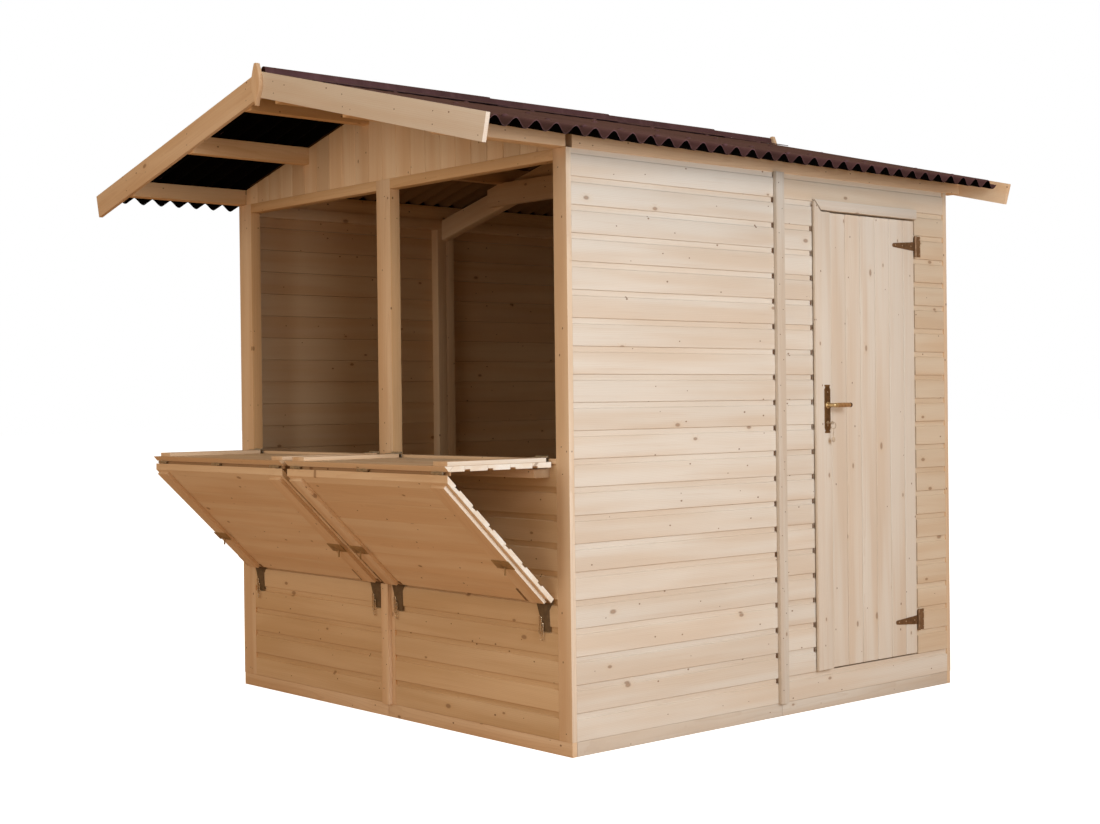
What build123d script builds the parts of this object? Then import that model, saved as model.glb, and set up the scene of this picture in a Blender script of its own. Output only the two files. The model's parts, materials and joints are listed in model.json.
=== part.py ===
from build123d import *
from math import cos, pi, radians, sin, tan
import os

# Wooden market stall. Millimetres, +Z up, +Y to the rear, the serving front faces -Y and the
# door is in the +X wall. The origin is on the ground at the middle of the footprint.

# ---- Overall size
WIDTH = 2056.0            # outside of the side claddings
DEPTH = 2080.0            # outside of the front and rear claddings
WALL_TOP = 2003.0
CLADDING = 18.0           # thickness of the wall boards
STUD = 45.0               # depth of the frame timbers behind the cladding
RAIL_HEIGHT = 49.0        # sole rail, up to the first board row
RAIL_RECESS = 1.0         # sole rail stands back from the cladding face
CORNER_FACE = 22.0        # what a corner post shows on the side walls
FIT = 1.0                 # joiner's gap between butted timbers

# ---- Roof
ROOF_SLOPE = 14.0         # degrees
EAVE_SEAT = 60.65         # wall top to the sheet, at the inner edge of the eave purlin
SHEET_WAVE = 82.0         # pitch of the corrugation
SHEET_RISE = 30.0         # valley to crest, without the sheet's thickness
SHEET_LIFT = 0.5          # the sheets lie this far off the purlins
SHEET_INSET = 2.0         # sheet edges stand back from the barge boards
RIDGE_GAP = 8.0           # between the ridge line and the top edge of each sheet
SHEET_THICKNESS = 3.0
EAVE_X = 1222.0           # eave edge of the sheets
FRONT_OVERHANG = 510.0
REAR_OVERHANG = 90.0
PURLIN_WIDTH = 45.0
PURLIN_HEIGHT = 66.0
RIDGE_PURLIN_X = 102.5    # the two purlins beside the ridge
MID_PURLIN_X = 516.0
EAVE_PURLIN_X = 1000.0
EAVE_PURLIN_WIDTH = 56.0
EAVE_BREAK = 28.0         # gap between the overhanging piece and the piece along the side wall
RAFTER_WIDTH = 45.0
RAFTER_HEIGHT = 90.0
BARGE_HEIGHT = 90.0
BARGE_THICKNESS = 16.0
BARGE_RISE = 39.0         # upper edge of the barge boards over the sheets' underside
BARGE_END_X = 1266.0
FINIAL_RISE = 27.0        # finial over the apex of the barge boards
FINIAL_LENGTH = 150.0
FINIAL_WIDTH = 54.0
FINIAL_TOP = 0.13         # half of its flat top, as a share of the width
FINIAL_EDGE = ((0.42, 0.28), (0.5, 0.51), (0.31, 0.73), (0.14, 0.87), (0.08, 1.0))  # shares down its edge
RIDGE_CAP_WIDTH = 120.0   # of each wing, along the slope
RIDGE_CAP_THICKNESS = 3.0
RIDGE_CAP_SEAT = 0.5      # over the crests of the sheets
RIDGE_ROLL_RADIUS = 17.0
RIDGE_ROLL_RISE = 20.0    # top of the roll over the ridge of the wings

# ---- Serving front
LEFT_POST_WIDTH = 93.0
CENTRE_POST_WIDTH = 86.0
RIGHT_POST_WIDTH = 65.0
CENTRE_POST_X = 4.0
POST_DEPTH = 44.0
SILL_HEIGHT = 980.0
LINTEL_BOTTOM = 1966.0
STRIP_THICKNESS = 16.0
STRIP_WIDTH = 44.0
STRIP_DROP = 6.0          # the front strip ends this far below the braces' lower corner

# ---- Folding flaps: the counter leaf and the brace leaf under it
FLAP_LEFT = (-942.0, -12.0)    # ends of the left pair along X
FLAP_RIGHT = (21.0, 951.0)     # ends of the right pair along X
FLAP_BOARD = 18.0
FLAP_BATTEN = 14.0
BOARD_PITCH = 94.0             # from rebate to rebate
COUNTER_FIRST = 76.0           # outer edge of the counter to the middle of its first rebate
BRACE_FIRST = 59.0             # upper edge of the brace to the middle of its first rebate
REBATE_WIDTH = 21.0            # flat rebates between the boards of a leaf
REBATE_DEPTH = 7.0
EDGE_BEVEL = 16.0              # slant of the two edges that meet at the outer knuckles
COUNTER_BATTEN_INSET = 8.0     # batten ends to the edges of the counter
BRACE_BATTEN_HEAD = 26.0       # batten end to the upper edge of the brace
BRACE_BATTEN_FOOT = 10.0
BATTEN_WIDTH = 74.0
BATTEN_INSET = 16.0
COUNTER_REACH = 443.0          # wall face to the outer knuckles
BRACE_TILT = 44.1              # degrees below the horizontal
PIN_RADIUS = 4.0
PIN_PROUD = 4.5                # pin axis outside the boards' grooved face
BARREL_STANDOFF = 0.5          # knuckles to the wall face
SILL_PIN_RISE = 7.0            # sill pins over the sill
PIN_GAP = 4.0                  # leaf edge to pin axis
CLEARANCE = 5.0                # between the leaves and the wall
HINGE_LENGTH = 60.0
LEAF_REACH = 28.0              # pin line to the far edge of a hinge leaf
LEAF_THICKNESS = 2.0
KNUCKLE_GAP = 0.6
COUNTER_RAIL_DEPTH = 68.0
COUNTER_RAIL_HEIGHT = 29.0
COUNTER_RAIL_INSET = 20.0

# ---- Hasps, bolts and hooks of the braces
HASP_THICKNESS = 2.5
HASP_TOP_LEFT = 46.0           # the middle of the batten to the left tip
HASP_TOP_RIGHT = 46.0
HASP_NECK_LEFT = 32.0          # where the tips run into the stem
HASP_NECK_RIGHT = 24.0
HASP_NECK_DROP = 36.0          # the neck below the tips
HASP_FOOT_LEFT = 8.0
HASP_FOOT_RIGHT = 27.0
HASP_LENGTH = 108.0
WING_WIDTH = 38.0              # strap on the brace, on the left of each batten
WING_LENGTH = 62.0
TAB_WIDTH = 13.0               # the short strap on its right
TAB_LENGTH = 18.0
BOLT_PLACE = 190.0             # bolt plates up the slope from the free edge
BOLT_PLATE = 88.0              # across the batten
BOLT_HEIGHT = 40.0             # along the batten
BOLT_PIN_RADIUS = 3.0
BOLT_PIN_LENGTH = 26.0
HOOK_LENGTH = 60.0             # wire hooks hanging on the hasps, the second from the first
HOOK_WIDTH = 15.0
HOOK_WIRE = 3.0
HOOK_HEIGHT = 50.0             # top of the first one above the hasp's foot
HOOK_STEP = (12.0, -20.0)      # from the first hook to the second, along X and Z
HOOK_X = -20.0                 # the first hook beside the middle of the batten

# ---- Door
DOOR_SETBACK = 219.0           # hinged edge of the leaf to the rear corner of the hut
DOOR_WIDTH = 591.0
DOOR_BOTTOM = 147.0
DOOR_HEAD = 130.0              # head of the leaf below the top of the wall
DOOR_GAP = 6.0
DOOR_STRIP_WIDTH = 88.0
DOOR_STRIP_LAP = 38.0          # how far the strip laps over the wall
DOOR_STRIP_PROUD = 16.0
DOOR_STRIP_REBATE = 5.0        # the lap stands this far off the wall boards
HEAD_TRIM_HEIGHT = 38.0
LEDGE_HEIGHT = 90.0
LEDGE_DEPTH = 22.0
LEDGE_INSET = 20.0
LEDGE_FOOT = 130.0             # lowest ledge over the foot of the leaf
LEDGE_HEAD = 220.0             # foot of the highest ledge below the head of the leaf

# ---- Door hinges
STRAP_LENGTH = 134.0
STRAP_ROOT = 36.0
STRAP_TIP = 16.0
STRAP_THICKNESS = 2.5
PLATE_HEIGHT = 82.0
PLATE_WIDTH = 31.0
HINGE_RADIUS = 6.0
HINGE_STANDOFF = 0.5           # barrel to the wall face
HINGE_FOOT = 133.0             # lower hinge over the foot of the leaf
HINGE_HEAD = 101.0             # upper hinge below the head of the leaf

# ---- Door handle
HANDLE_INSET = 24.0            # pivot to the edge of the leaf
HANDLE_HEIGHT = 1144.0
HANDLE_PLATE_WIDTH = 33.0
HANDLE_PLATE_WAIST = 22.0
HANDLE_PLATE_RISE = 77.0       # plate top over the pivot
HANDLE_PLATE_DROP = 105.0
HANDLE_PLATE_THICKNESS = 3.0
SCROLL_HEIGHT = 9.0            # end caps of the plate
LEVER_GAP = 0.3
LEVER_RADIUS = 8.0
LEVER_REACH = 42.0
LEVER_COLLAR = 26.0            # bare neck before the grip
GRIP_RADIUS = 9.0
LEVER_LENGTH = 98.0
KEY_DROP = 68.0                # keyhole below the pivot
KEY_REACH = 20.0
KEY_RADIUS = 3.0
KEY_RING = 15.0
KEY_RING_WIRE = 3.0
KEY_CORD = 42.0
KEY_TAG = 22.0

# ---- Floor
JOIST_WIDTH = 45.0
FLOOR_TOP = 120.0
DECK = 18.0

# ---- Derived places
side_x = WIDTH / 2
front_y = -DEPTH / 2
rear_y = DEPTH / 2
corner_front = front_y + CORNER_FACE
corner_rear = rear_y - CORNER_FACE
slope = tan(radians(ROOF_SLOPE))
stud_x = side_x - CLADDING                  # outer face of the side studs
inner_x = stud_x - STUD                     # inner face of the side studs
eave_low = EAVE_PURLIN_X - EAVE_PURLIN_WIDTH / 2
eave_high = EAVE_PURLIN_X + EAVE_PURLIN_WIDTH / 2
ridge_underside = WALL_TOP + EAVE_SEAT + slope * eave_low
barge_apex = ridge_underside + BARGE_RISE
purlin_front = front_y - FRONT_OVERHANG
purlin_rear = rear_y + REAR_OVERHANG
sheet_front_y = purlin_front + SHEET_INSET
sheet_rear_y = purlin_rear - SHEET_INSET
flap_thickness = FLAP_BOARD + FLAP_BATTEN
sill_pin_y = front_y - PIN_RADIUS - BARREL_STANDOFF
sill_pin_z = SILL_HEIGHT + SILL_PIN_RISE
shut_gap = CLEARANCE + HASP_THICKNESS       # battens to the posts when shut, over the bolt plates
counter_top = sill_pin_z + front_y - shut_gap - sill_pin_y
counter_under = counter_top - flap_thickness
brace_pin_y = front_y - COUNTER_REACH
brace_pin_z = counter_under - PIN_PROUD
tilt = radians(BRACE_TILT)
brace_along = Vector(0, cos(tilt), -sin(tilt))
brace_up = Vector(0, sin(tilt), cos(tilt))
brace_face = Vector(0, brace_pin_y, brace_pin_z) - brace_up * PIN_PROUD
brace_length = (front_y - CLEARANCE - brace_face.Y) / cos(tilt) - PIN_GAP
brace_foot_z = brace_face.Z - (brace_length + PIN_GAP) * sin(tilt)   # of the grooved face
front_strip_top = brace_foot_z - FLAP_BOARD * cos(tilt) - STRIP_DROP
door_rear_y = rear_y - DOOR_SETBACK
door_front_y = door_rear_y - DOOR_WIDTH
door_top = WALL_TOP - DOOR_HEAD


def timber(x0, x1, y0, y1, z0, z1):
    """Adds one squared timber, from corner to corner, to the piece being built."""
    with Locations((x0, y0, z0)):
        Box(x1 - x0, y1 - y0, z1 - z0, align=Align.MIN)


def roof_z(x):
    """Height of the sheets' underside at a distance from the ridge."""
    return ridge_underside - slope * abs(x)


def save(piece, name):
    """Labels a finished piece and writes it."""
    piece.part.label = name
    export_step(piece.part, f"parts/{name}.step")


def upright(points, y, depth):
    """Adds an outline drawn in X and Z, extruded from y towards the rear."""
    with BuildSketch(Plane.XZ.offset(-y)) as outline:
        with BuildLine():
            Polyline(*points, close=True)
        make_face()
    extrude(outline.sketch, amount=-depth)


os.makedirs("parts", exist_ok=True)

# ---- Sole rails, floor
rail_x = side_x - RAIL_RECESS
with BuildPart() as sole_rails:
    for side in (-1, 1):
        x0, x1 = sorted((side * rail_x, side * inner_x))
        timber(x0, x1, corner_front + FIT, -FIT, 0, RAIL_HEIGHT)
        timber(x0, x1, FIT, corner_rear - FIT, 0, RAIL_HEIGHT)
        for end in (-1, 1):
            y0, y1 = sorted((end * (rear_y - RAIL_RECESS), end * corner_rear))
            x0, x1 = sorted((side * rail_x, side * FIT))
            timber(x0, x1, y0, y1, 0, RAIL_HEIGHT)
            y0, y1 = sorted((end * corner_rear, end * (rear_y - RAIL_RECESS - STUD)))
            x0, x1 = sorted((side * (inner_x - FIT), side * FIT))
            timber(x0, x1, y0, y1, 0, RAIL_HEIGHT)
save(sole_rails, "sole_rails")

floor_front = front_y + RAIL_RECESS + STUD
floor_rear = rear_y - CLADDING - STUD
with BuildPart() as floor_joists:
    for x in (-inner_x / 2, 0, inner_x / 2):
        timber(x - JOIST_WIDTH / 2, x + JOIST_WIDTH / 2, floor_front, floor_rear, 0, FLOOR_TOP - DECK)
save(floor_joists, "floor_joists")

with BuildPart() as floor_deck:
    timber(-inner_x, inner_x, floor_front, floor_rear, FLOOR_TOP - DECK, FLOOR_TOP)
save(floor_deck, "floor_deck")

# ---- Serving front
post_back = front_y + POST_DEPTH
left_post_x = -side_x + LEFT_POST_WIDTH
right_post_x = side_x - RIGHT_POST_WIDTH


def corner_post(side, inner, end):
    """Adds a corner post, rebated for the side cladding; the end is -1 in front and 1 at the rear."""
    for outer, y0, y1 in ((side_x, rear_y, corner_rear), (stud_x, corner_rear, rear_y - POST_DEPTH)):
        x0, x1 = sorted((side * outer, inner))
        low, high = sorted((end * y0, end * y1))
        timber(x0, x1, low, high, RAIL_HEIGHT, WALL_TOP)


with BuildPart() as front_posts:
    corner_post(-1, left_post_x, -1)
    half = CENTRE_POST_WIDTH / 2
    timber(CENTRE_POST_X - half, CENTRE_POST_X + half, front_y, post_back, RAIL_HEIGHT, WALL_TOP)
    corner_post(1, right_post_x, -1)
save(front_posts, "front_posts")

centre_left = CENTRE_POST_X - CENTRE_POST_WIDTH / 2
centre_right = CENTRE_POST_X + CENTRE_POST_WIDTH / 2
with BuildPart() as front_wall:
    for x0, x1 in ((left_post_x, centre_left), (centre_right, right_post_x)):
        timber(x0, x1, front_y, front_y + CLADDING, RAIL_HEIGHT, SILL_HEIGHT - CLADDING)
save(front_wall, "front_wall")

with BuildPart() as front_sill:
    timber(left_post_x, centre_left, front_y, front_y + STUD, SILL_HEIGHT - CLADDING, SILL_HEIGHT)
    timber(centre_right, right_post_x, front_y, front_y + STUD, SILL_HEIGHT - CLADDING, SILL_HEIGHT)
save(front_sill, "front_sill")

with BuildPart() as front_lintel:
    timber(left_post_x, centre_left, front_y, front_y + STUD, LINTEL_BOTTOM, WALL_TOP)
    timber(centre_right, right_post_x, front_y, front_y + STUD, LINTEL_BOTTOM, WALL_TOP)
save(front_lintel, "front_lintel")

gable_half = EAVE_PURLIN_X - EAVE_PURLIN_WIDTH / 2


def purlin_outline(x):
    """The section of a purlin whose top is cut to the roof slope."""
    low, high = x - PURLIN_WIDTH / 2, x + PURLIN_WIDTH / 2
    bottom = max(roof_z(low), roof_z(high)) - PURLIN_HEIGHT
    return [(low, bottom), (high, bottom), (high, roof_z(high)), (low, roof_z(low))]


def gable(y):
    """Adds a gable triangle of vertical boards, cut out round the purlins."""
    upright([(-gable_half, WALL_TOP), (gable_half, WALL_TOP), (gable_half, roof_z(gable_half)),
             (0, ridge_underside), (-gable_half, roof_z(gable_half))], y, CLADDING)
    with BuildSketch(Plane.XZ.offset(-y)) as slots:
        for x in (-MID_PURLIN_X, -RIDGE_PURLIN_X, RIDGE_PURLIN_X, MID_PURLIN_X):
            with BuildLine():
                Polyline(*purlin_outline(x), close=True)
            make_face()
    extrude(slots.sketch, amount=-CLADDING, mode=Mode.SUBTRACT)


with BuildPart() as gables:
    for y in (front_y, rear_y - CLADDING):
        gable(y)
save(gables, "gables")

# ---- Rear and side walls
rear_post_y = rear_y - POST_DEPTH
with BuildPart() as rear_posts:
    corner_post(-1, -right_post_x, 1)
    corner_post(1, right_post_x, 1)
save(rear_posts, "rear_posts")

with BuildPart() as rear_wall:
    for x0, x1 in ((-right_post_x, -FIT / 2), (FIT / 2, right_post_x)):
        timber(x0, x1, rear_y - CLADDING, rear_y, RAIL_HEIGHT, WALL_TOP)
save(rear_wall, "rear_wall")


def side_wall(side, y0, y1):
    """Adds a stretch of side cladding."""
    x0, x1 = sorted((side * stud_x, side * side_x))
    timber(x0, x1, y0, y1, RAIL_HEIGHT, WALL_TOP)


with BuildPart() as left_wall:
    side_wall(-1, corner_front, -FIT / 2)
    side_wall(-1, FIT / 2, corner_rear)
save(left_wall, "left_wall")

with BuildPart() as right_wall_front:
    side_wall(1, corner_front, 0)
save(right_wall_front, "right_wall_front")

door_y0 = door_front_y - DOOR_GAP
door_y1 = door_rear_y + DOOR_GAP
with BuildPart() as right_wall_rear:
    side_wall(1, 0, corner_rear)
    with Locations((stud_x, door_y0, DOOR_BOTTOM - DOOR_GAP)):
        Box(CLADDING, door_y1 - door_y0, door_top - DOOR_BOTTOM + 2 * DOOR_GAP,
            align=Align.MIN, mode=Mode.SUBTRACT)
save(right_wall_rear, "right_wall_rear")

plate_bottom = WALL_TOP - STUD
with BuildPart() as side_top_plates:
    for side in (-1, 1):
        x0, x1 = sorted((side * inner_x, side * stud_x))
        timber(x0, x1, post_back, -FIT, plate_bottom, WALL_TOP)
        timber(x0, x1, FIT, rear_post_y, plate_bottom, WALL_TOP)
save(side_top_plates, "side_top_plates")

joint_studs = ((-STUD - FIT, -FIT), (FIT, FIT + STUD))
door_studs = ((door_y0 - STUD, door_y0), (door_y1, door_y1 + STUD))
with BuildPart() as left_studs:
    for y0, y1 in joint_studs:
        timber(-stud_x, -inner_x, y0, y1, RAIL_HEIGHT, plate_bottom)
save(left_studs, "left_studs")

with BuildPart() as right_studs:
    for y0, y1 in joint_studs + door_studs:
        timber(inner_x, stud_x, y0, y1, RAIL_HEIGHT, plate_bottom)
save(right_studs, "right_studs")

with BuildPart() as rear_studs:
    for x0 in (-STUD - FIT, FIT):
        timber(x0, x0 + STUD, rear_y - CLADDING - STUD, rear_y - CLADDING, RAIL_HEIGHT, WALL_TOP)
save(rear_studs, "rear_studs")

with BuildPart() as cover_strips:
    for side in (-1, 1):
        x0, x1 = sorted((side * side_x, side * (side_x + STRIP_THICKNESS)))
        timber(x0, x1, -STRIP_WIDTH / 2, STRIP_WIDTH / 2, RAIL_HEIGHT, WALL_TOP)
    half = STRIP_WIDTH / 2
    timber(CENTRE_POST_X - half, CENTRE_POST_X + half, front_y - STRIP_THICKNESS, front_y,
           RAIL_HEIGHT, front_strip_top)
    timber(-half, half, rear_y, rear_y + STRIP_THICKNESS, RAIL_HEIGHT, WALL_TOP)
save(cover_strips, "cover_strips")

# ---- Roof timbers
purlin_length = purlin_rear - purlin_front
with BuildPart() as ridge_purlins:
    for x in (-RIDGE_PURLIN_X, RIDGE_PURLIN_X):
        upright(purlin_outline(x), purlin_front, purlin_length)
save(ridge_purlins, "ridge_purlins")

with BuildPart() as mid_purlins:
    for x in (-MID_PURLIN_X, MID_PURLIN_X):
        upright(purlin_outline(x), purlin_front, purlin_length)
save(mid_purlins, "mid_purlins")

with BuildPart() as eave_purlins:
    for side in (-1, 1):
        for y0, y1 in ((purlin_front, front_y), (front_y + EAVE_BREAK, purlin_rear)):
            upright([(side * eave_low, WALL_TOP), (side * eave_high, WALL_TOP),
                     (side * eave_high, roof_z(eave_high)), (side * eave_low, roof_z(eave_low))],
                    y0, y1 - y0)
save(eave_purlins, "eave_purlins")

rafter_end = inner_x - FIT
with BuildPart() as middle_rafters:
    for side in (-1, 1):
        upper = [(side * x, roof_z(x) - PURLIN_HEIGHT) for x in (FIT / 2, rafter_end)]
        lower = [(x, z - RAFTER_HEIGHT) for x, z in reversed(upper)]
        upright(upper + lower,
                -RAFTER_WIDTH / 2, RAFTER_WIDTH)
save(middle_rafters, "middle_rafters")

# ---- Roof covering
wave_count = int((sheet_rear_y - sheet_front_y) // SHEET_WAVE)
sheet_margin = (sheet_rear_y - sheet_front_y - wave_count * SHEET_WAVE) / 2


def roof_sheet(side):
    """Adds one corrugated slope: the wave runs along Y and the flutes run down the slope."""
    steps = 8
    down = Vector(side * cos(radians(ROOF_SLOPE)), 0, -sin(radians(ROOF_SLOPE)))
    along = Vector(0, 1, 0)
    up = Vector(side * sin(radians(ROOF_SLOPE)), 0, cos(radians(ROOF_SLOPE)))
    start = Vector(0, 0, ridge_underside) + up * SHEET_LIFT + down * RIDGE_GAP
    length = EAVE_X / cos(radians(ROOF_SLOPE)) - RIDGE_GAP
    across = Plane(origin=start, x_dir=along, z_dir=down)
    lift = 1 if across.y_dir.dot(up) > 0 else -1
    with BuildSketch(across) as wave:
        with BuildLine():
            lower = []
            for step in range(wave_count * steps + 1):
                u = sheet_front_y + sheet_margin + step * SHEET_WAVE / steps
                lower.append((u, (1 + sin(2 * pi * step / steps)) / 2 * SHEET_RISE))
            upper = [(u, rise + SHEET_THICKNESS) for u, rise in reversed(lower)]
            Polyline(*[(u, lift * rise) for u, rise in lower + upper], close=True)
        make_face()
    extrude(wave.sketch, amount=length)


with BuildPart() as roof_sheet_left:
    roof_sheet(-1)
save(roof_sheet_left, "roof_sheet_left")

with BuildPart() as roof_sheet_right:
    roof_sheet(1)
save(roof_sheet_right, "roof_sheet_right")

cap_lift = SHEET_LIFT + SHEET_RISE + SHEET_THICKNESS + RIDGE_CAP_SEAT
cap_z = ridge_underside + cap_lift / cos(radians(ROOF_SLOPE))
wing_x = RIDGE_CAP_WIDTH * cos(radians(ROOF_SLOPE))


def cap_outline(radius, z):
    """Half of the cap's section: a wing and its part of the roll, from the foot to the top."""
    top = cap_z + RIDGE_CAP_THICKNESS + RIDGE_ROLL_RISE - (RIDGE_ROLL_RADIUS - radius)
    points = [(wing_x, z - wing_x * slope), (radius, z - radius * slope)]
    for degrees in (60, 30, 0):
        points.append((radius * sin(radians(degrees)), top - radius * (1 - cos(radians(degrees)))))
    return points


with BuildPart() as ridge_cap:
    outer = cap_outline(RIDGE_ROLL_RADIUS, cap_z + RIDGE_CAP_THICKNESS)
    inner = cap_outline(RIDGE_ROLL_RADIUS - RIDGE_CAP_THICKNESS, cap_z)
    upright(outer + [(-x, z) for x, z in reversed(outer[:-1])]
            + [(-x, z) for x, z in inner] + list(reversed(inner[:-1])),
            sheet_front_y, sheet_rear_y - sheet_front_y)
save(ridge_cap, "ridge_cap")


def barge_pair(y):
    """Adds the two barge boards of one gable, mitred at the ridge."""
    drop = BARGE_HEIGHT / cos(radians(ROOF_SLOPE))
    square = BARGE_HEIGHT * sin(radians(ROOF_SLOPE))
    for side in (-1, 1):
        inner = 0.5 * FIT
        low_x = BARGE_END_X - square
        upright([(side * inner, barge_apex - slope * inner), (side * inner, barge_apex - drop),
                 (side * low_x, barge_apex - drop - slope * low_x),
                 (side * BARGE_END_X, barge_apex - slope * BARGE_END_X)], y, BARGE_THICKNESS)


barge_front_y = purlin_front - BARGE_THICKNESS
barge_rear_y = purlin_rear
finial_top = barge_apex + FINIAL_RISE
with BuildPart() as barge_boards:
    barge_pair(barge_front_y)
    barge_pair(barge_rear_y)
save(barge_boards, "barge_boards")

with BuildPart() as finials:
    for y in (barge_front_y - BARGE_THICKNESS, barge_rear_y + BARGE_THICKNESS):
        right = [(FINIAL_WIDTH * across, finial_top - FINIAL_LENGTH * down)
                 for across, down in ((FINIAL_TOP, 0),) + FINIAL_EDGE]
        left = [(-x, z) for x, z in reversed(right)]
        with BuildSketch(Plane.XZ.offset(-y)) as shield:
            with BuildLine():
                Spline(*right)
                Line(right[-1], left[0])
                Spline(*left)
                Line(left[-1], right[0])
            make_face()
        extrude(shield.sketch, amount=-BARGE_THICKNESS)
save(finials, "finials")

# ---- Rail on the wall under the counter
with BuildPart() as counter_rail:
    rail_top = counter_under - CLEARANCE
    for x0, x1 in ((FLAP_LEFT[0] + COUNTER_RAIL_INSET, FLAP_LEFT[1] - COUNTER_RAIL_INSET),
                   (FLAP_RIGHT[0] + COUNTER_RAIL_INSET, FLAP_RIGHT[1] - COUNTER_RAIL_INSET)):
        timber(x0, x1, front_y - COUNTER_RAIL_DEPTH, front_y, rail_top - COUNTER_RAIL_HEIGHT, rail_top)
save(counter_rail, "counter_rail")

# ---- Flaps
counter_inner_y = sill_pin_y - PIN_RADIUS - 2
counter_outer_y = brace_pin_y + PIN_GAP
counter_depth = counter_inner_y - counter_outer_y


def leaf_section(length, first):
    """Outline of a leaf of boards, with rebates between them on the face at height 0.

    The far face lies at -FLAP_BOARD. The edge at length 0 is the bevelled one."""
    points = [(0, 0)]
    joints = int((length - first - REBATE_WIDTH) // BOARD_PITCH) + 1
    for number in range(joints):
        start = first + number * BOARD_PITCH - REBATE_WIDTH / 2
        end = start + REBATE_WIDTH
        points += [(start, 0), (start, -REBATE_DEPTH), (end, -REBATE_DEPTH), (end, 0)]
    return points + [(length, 0), (length, -FLAP_BOARD)]


def extruded(points, plane, amount):
    """Adds an outline drawn on a plane, extruded along the plane's normal."""
    with BuildSketch(plane) as outline:
        with BuildLine():
            Polyline(*points, close=True)
        make_face()
    extrude(outline.sketch, amount=amount)


def counter_leaf(ends):
    """Adds the boards of one counter leaf; the grooves are underneath."""
    section = leaf_section(counter_depth, COUNTER_FIRST) + [(-EDGE_BEVEL, -FLAP_BOARD)]
    extruded([(u, -v) for u, v in section],
             Plane(origin=(ends[0], counter_outer_y, counter_under), x_dir=(0, 1, 0), z_dir=(1, 0, 0)),
             ends[1] - ends[0])


def batten_ends(ends):
    """The X range of each of the two battens of a leaf."""
    return ((ends[0] + BATTEN_INSET, ends[0] + BATTEN_INSET + BATTEN_WIDTH),
            (ends[1] - BATTEN_INSET - BATTEN_WIDTH, ends[1] - BATTEN_INSET))


def counter_battens(ends):
    """Adds the two battens on top of a counter leaf."""
    for x0, x1 in batten_ends(ends):
        timber(x0, x1, counter_outer_y + COUNTER_BATTEN_INSET, counter_inner_y - COUNTER_BATTEN_INSET,
               counter_under + FLAP_BOARD, counter_top)


def brace_plane(x, depth):
    """A plane across the brace: X runs down the slope from its upper edge, Y is square to the leaf.

    It starts a depth below the grooved face."""
    foot = brace_face + brace_along * PIN_GAP - brace_up * depth
    return Plane(origin=(x, foot.Y, foot.Z), x_dir=(0, brace_along.Y, brace_along.Z), z_dir=(1, 0, 0))


def brace_leaf(ends):
    """Adds the boards of one brace leaf; the grooves are on its upper face."""
    section = leaf_section(brace_length, BRACE_FIRST) + [(EDGE_BEVEL, -FLAP_BOARD)]
    extruded(section, brace_plane(ends[0], 0), ends[1] - ends[0])


def brace_slab(x0, x1, start, end, depth, thickness):
    """Adds a batten or strap lying on the underside of a brace, between two places on its slope."""
    extruded([(start, 0), (end, 0), (end, -thickness), (start, -thickness)], brace_plane(x0, depth), x1 - x0)


def brace_battens(ends):
    """Adds the two battens under a brace leaf."""
    for x0, x1 in batten_ends(ends):
        brace_slab(x0, x1, BRACE_BATTEN_HEAD, brace_length - BRACE_BATTEN_FOOT, FLAP_BOARD, FLAP_BATTEN)


def hinge_half(x, pin, along, face, middle):
    """Adds one half of a butt hinge: a leaf, and the middle knuckle or the two end ones.

    The leaf lies on a surface that is a distance face away from the pin line."""
    third = HINGE_LENGTH / 3
    start = x - HINGE_LENGTH / 2
    if middle:
        spans = [(third + KNUCKLE_GAP / 2, 2 * third - KNUCKLE_GAP / 2)]
    else:
        spans = [(0, third - KNUCKLE_GAP / 2), (2 * third + KNUCKLE_GAP / 2, HINGE_LENGTH)]
    inner = face - LEAF_THICKNESS if face > 0 else face + LEAF_THICKNESS
    low, high = min(face, inner), max(face, inner)
    clear = PIN_RADIUS + 1
    for x0, x1 in spans:
        with BuildSketch(Plane(origin=(start + x0, pin[0], pin[1]), x_dir=along, z_dir=(1, 0, 0))) as knuckle:
            Circle(PIN_RADIUS)
            with Locations((0, low)):
                Rectangle(clear, LEAF_THICKNESS, align=Align.MIN)
        extrude(knuckle.sketch, amount=x1 - x0)
    with BuildSketch(Plane(origin=(start, pin[0], pin[1]), x_dir=along, z_dir=(1, 0, 0))) as leaf:
        with Locations((clear, low)):
            Rectangle(LEAF_REACH - clear, high - low, align=Align.MIN)
    extrude(leaf.sketch, amount=HINGE_LENGTH)


def sill_hinge_places(ends):
    """X of the hinges along the sill, one at each batten."""
    return [(x0 + x1) / 2 for x0, x1 in batten_ends(ends)]


def brace_hinge_places(ends):
    """X of the hinges between the two leaves."""
    return sill_hinge_places(ends) + [(ends[0] + ends[1]) / 2]


sill_pin = (sill_pin_y, sill_pin_z)
brace_pin = (brace_pin_y, brace_pin_z)
with BuildPart() as sill_hinges:
    for ends in (FLAP_LEFT, FLAP_RIGHT):
        for x in sill_hinge_places(ends):
            hinge_half(x, sill_pin, (0, 0, -1), front_y - sill_pin_y, middle=True)
save(sill_hinges, "sill_hinges")


def counter_hinges(ends):
    """Adds the hinge halves that a counter leaf carries along its two long edges."""
    for x in sill_hinge_places(ends):
        hinge_half(x, sill_pin, (0, -1, 0), sill_pin_z - counter_top, middle=False)
    for x in brace_hinge_places(ends):
        hinge_half(x, brace_pin, (0, 1, 0), PIN_PROUD, middle=False)


with BuildPart() as counter_hinges_left:
    counter_hinges(FLAP_LEFT)
save(counter_hinges_left, "counter_hinges_left")

with BuildPart() as counter_hinges_right:
    counter_hinges(FLAP_RIGHT)
save(counter_hinges_right, "counter_hinges_right")

with BuildPart() as counter_left:
    counter_leaf(FLAP_LEFT)
save(counter_left, "counter_left")

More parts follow.
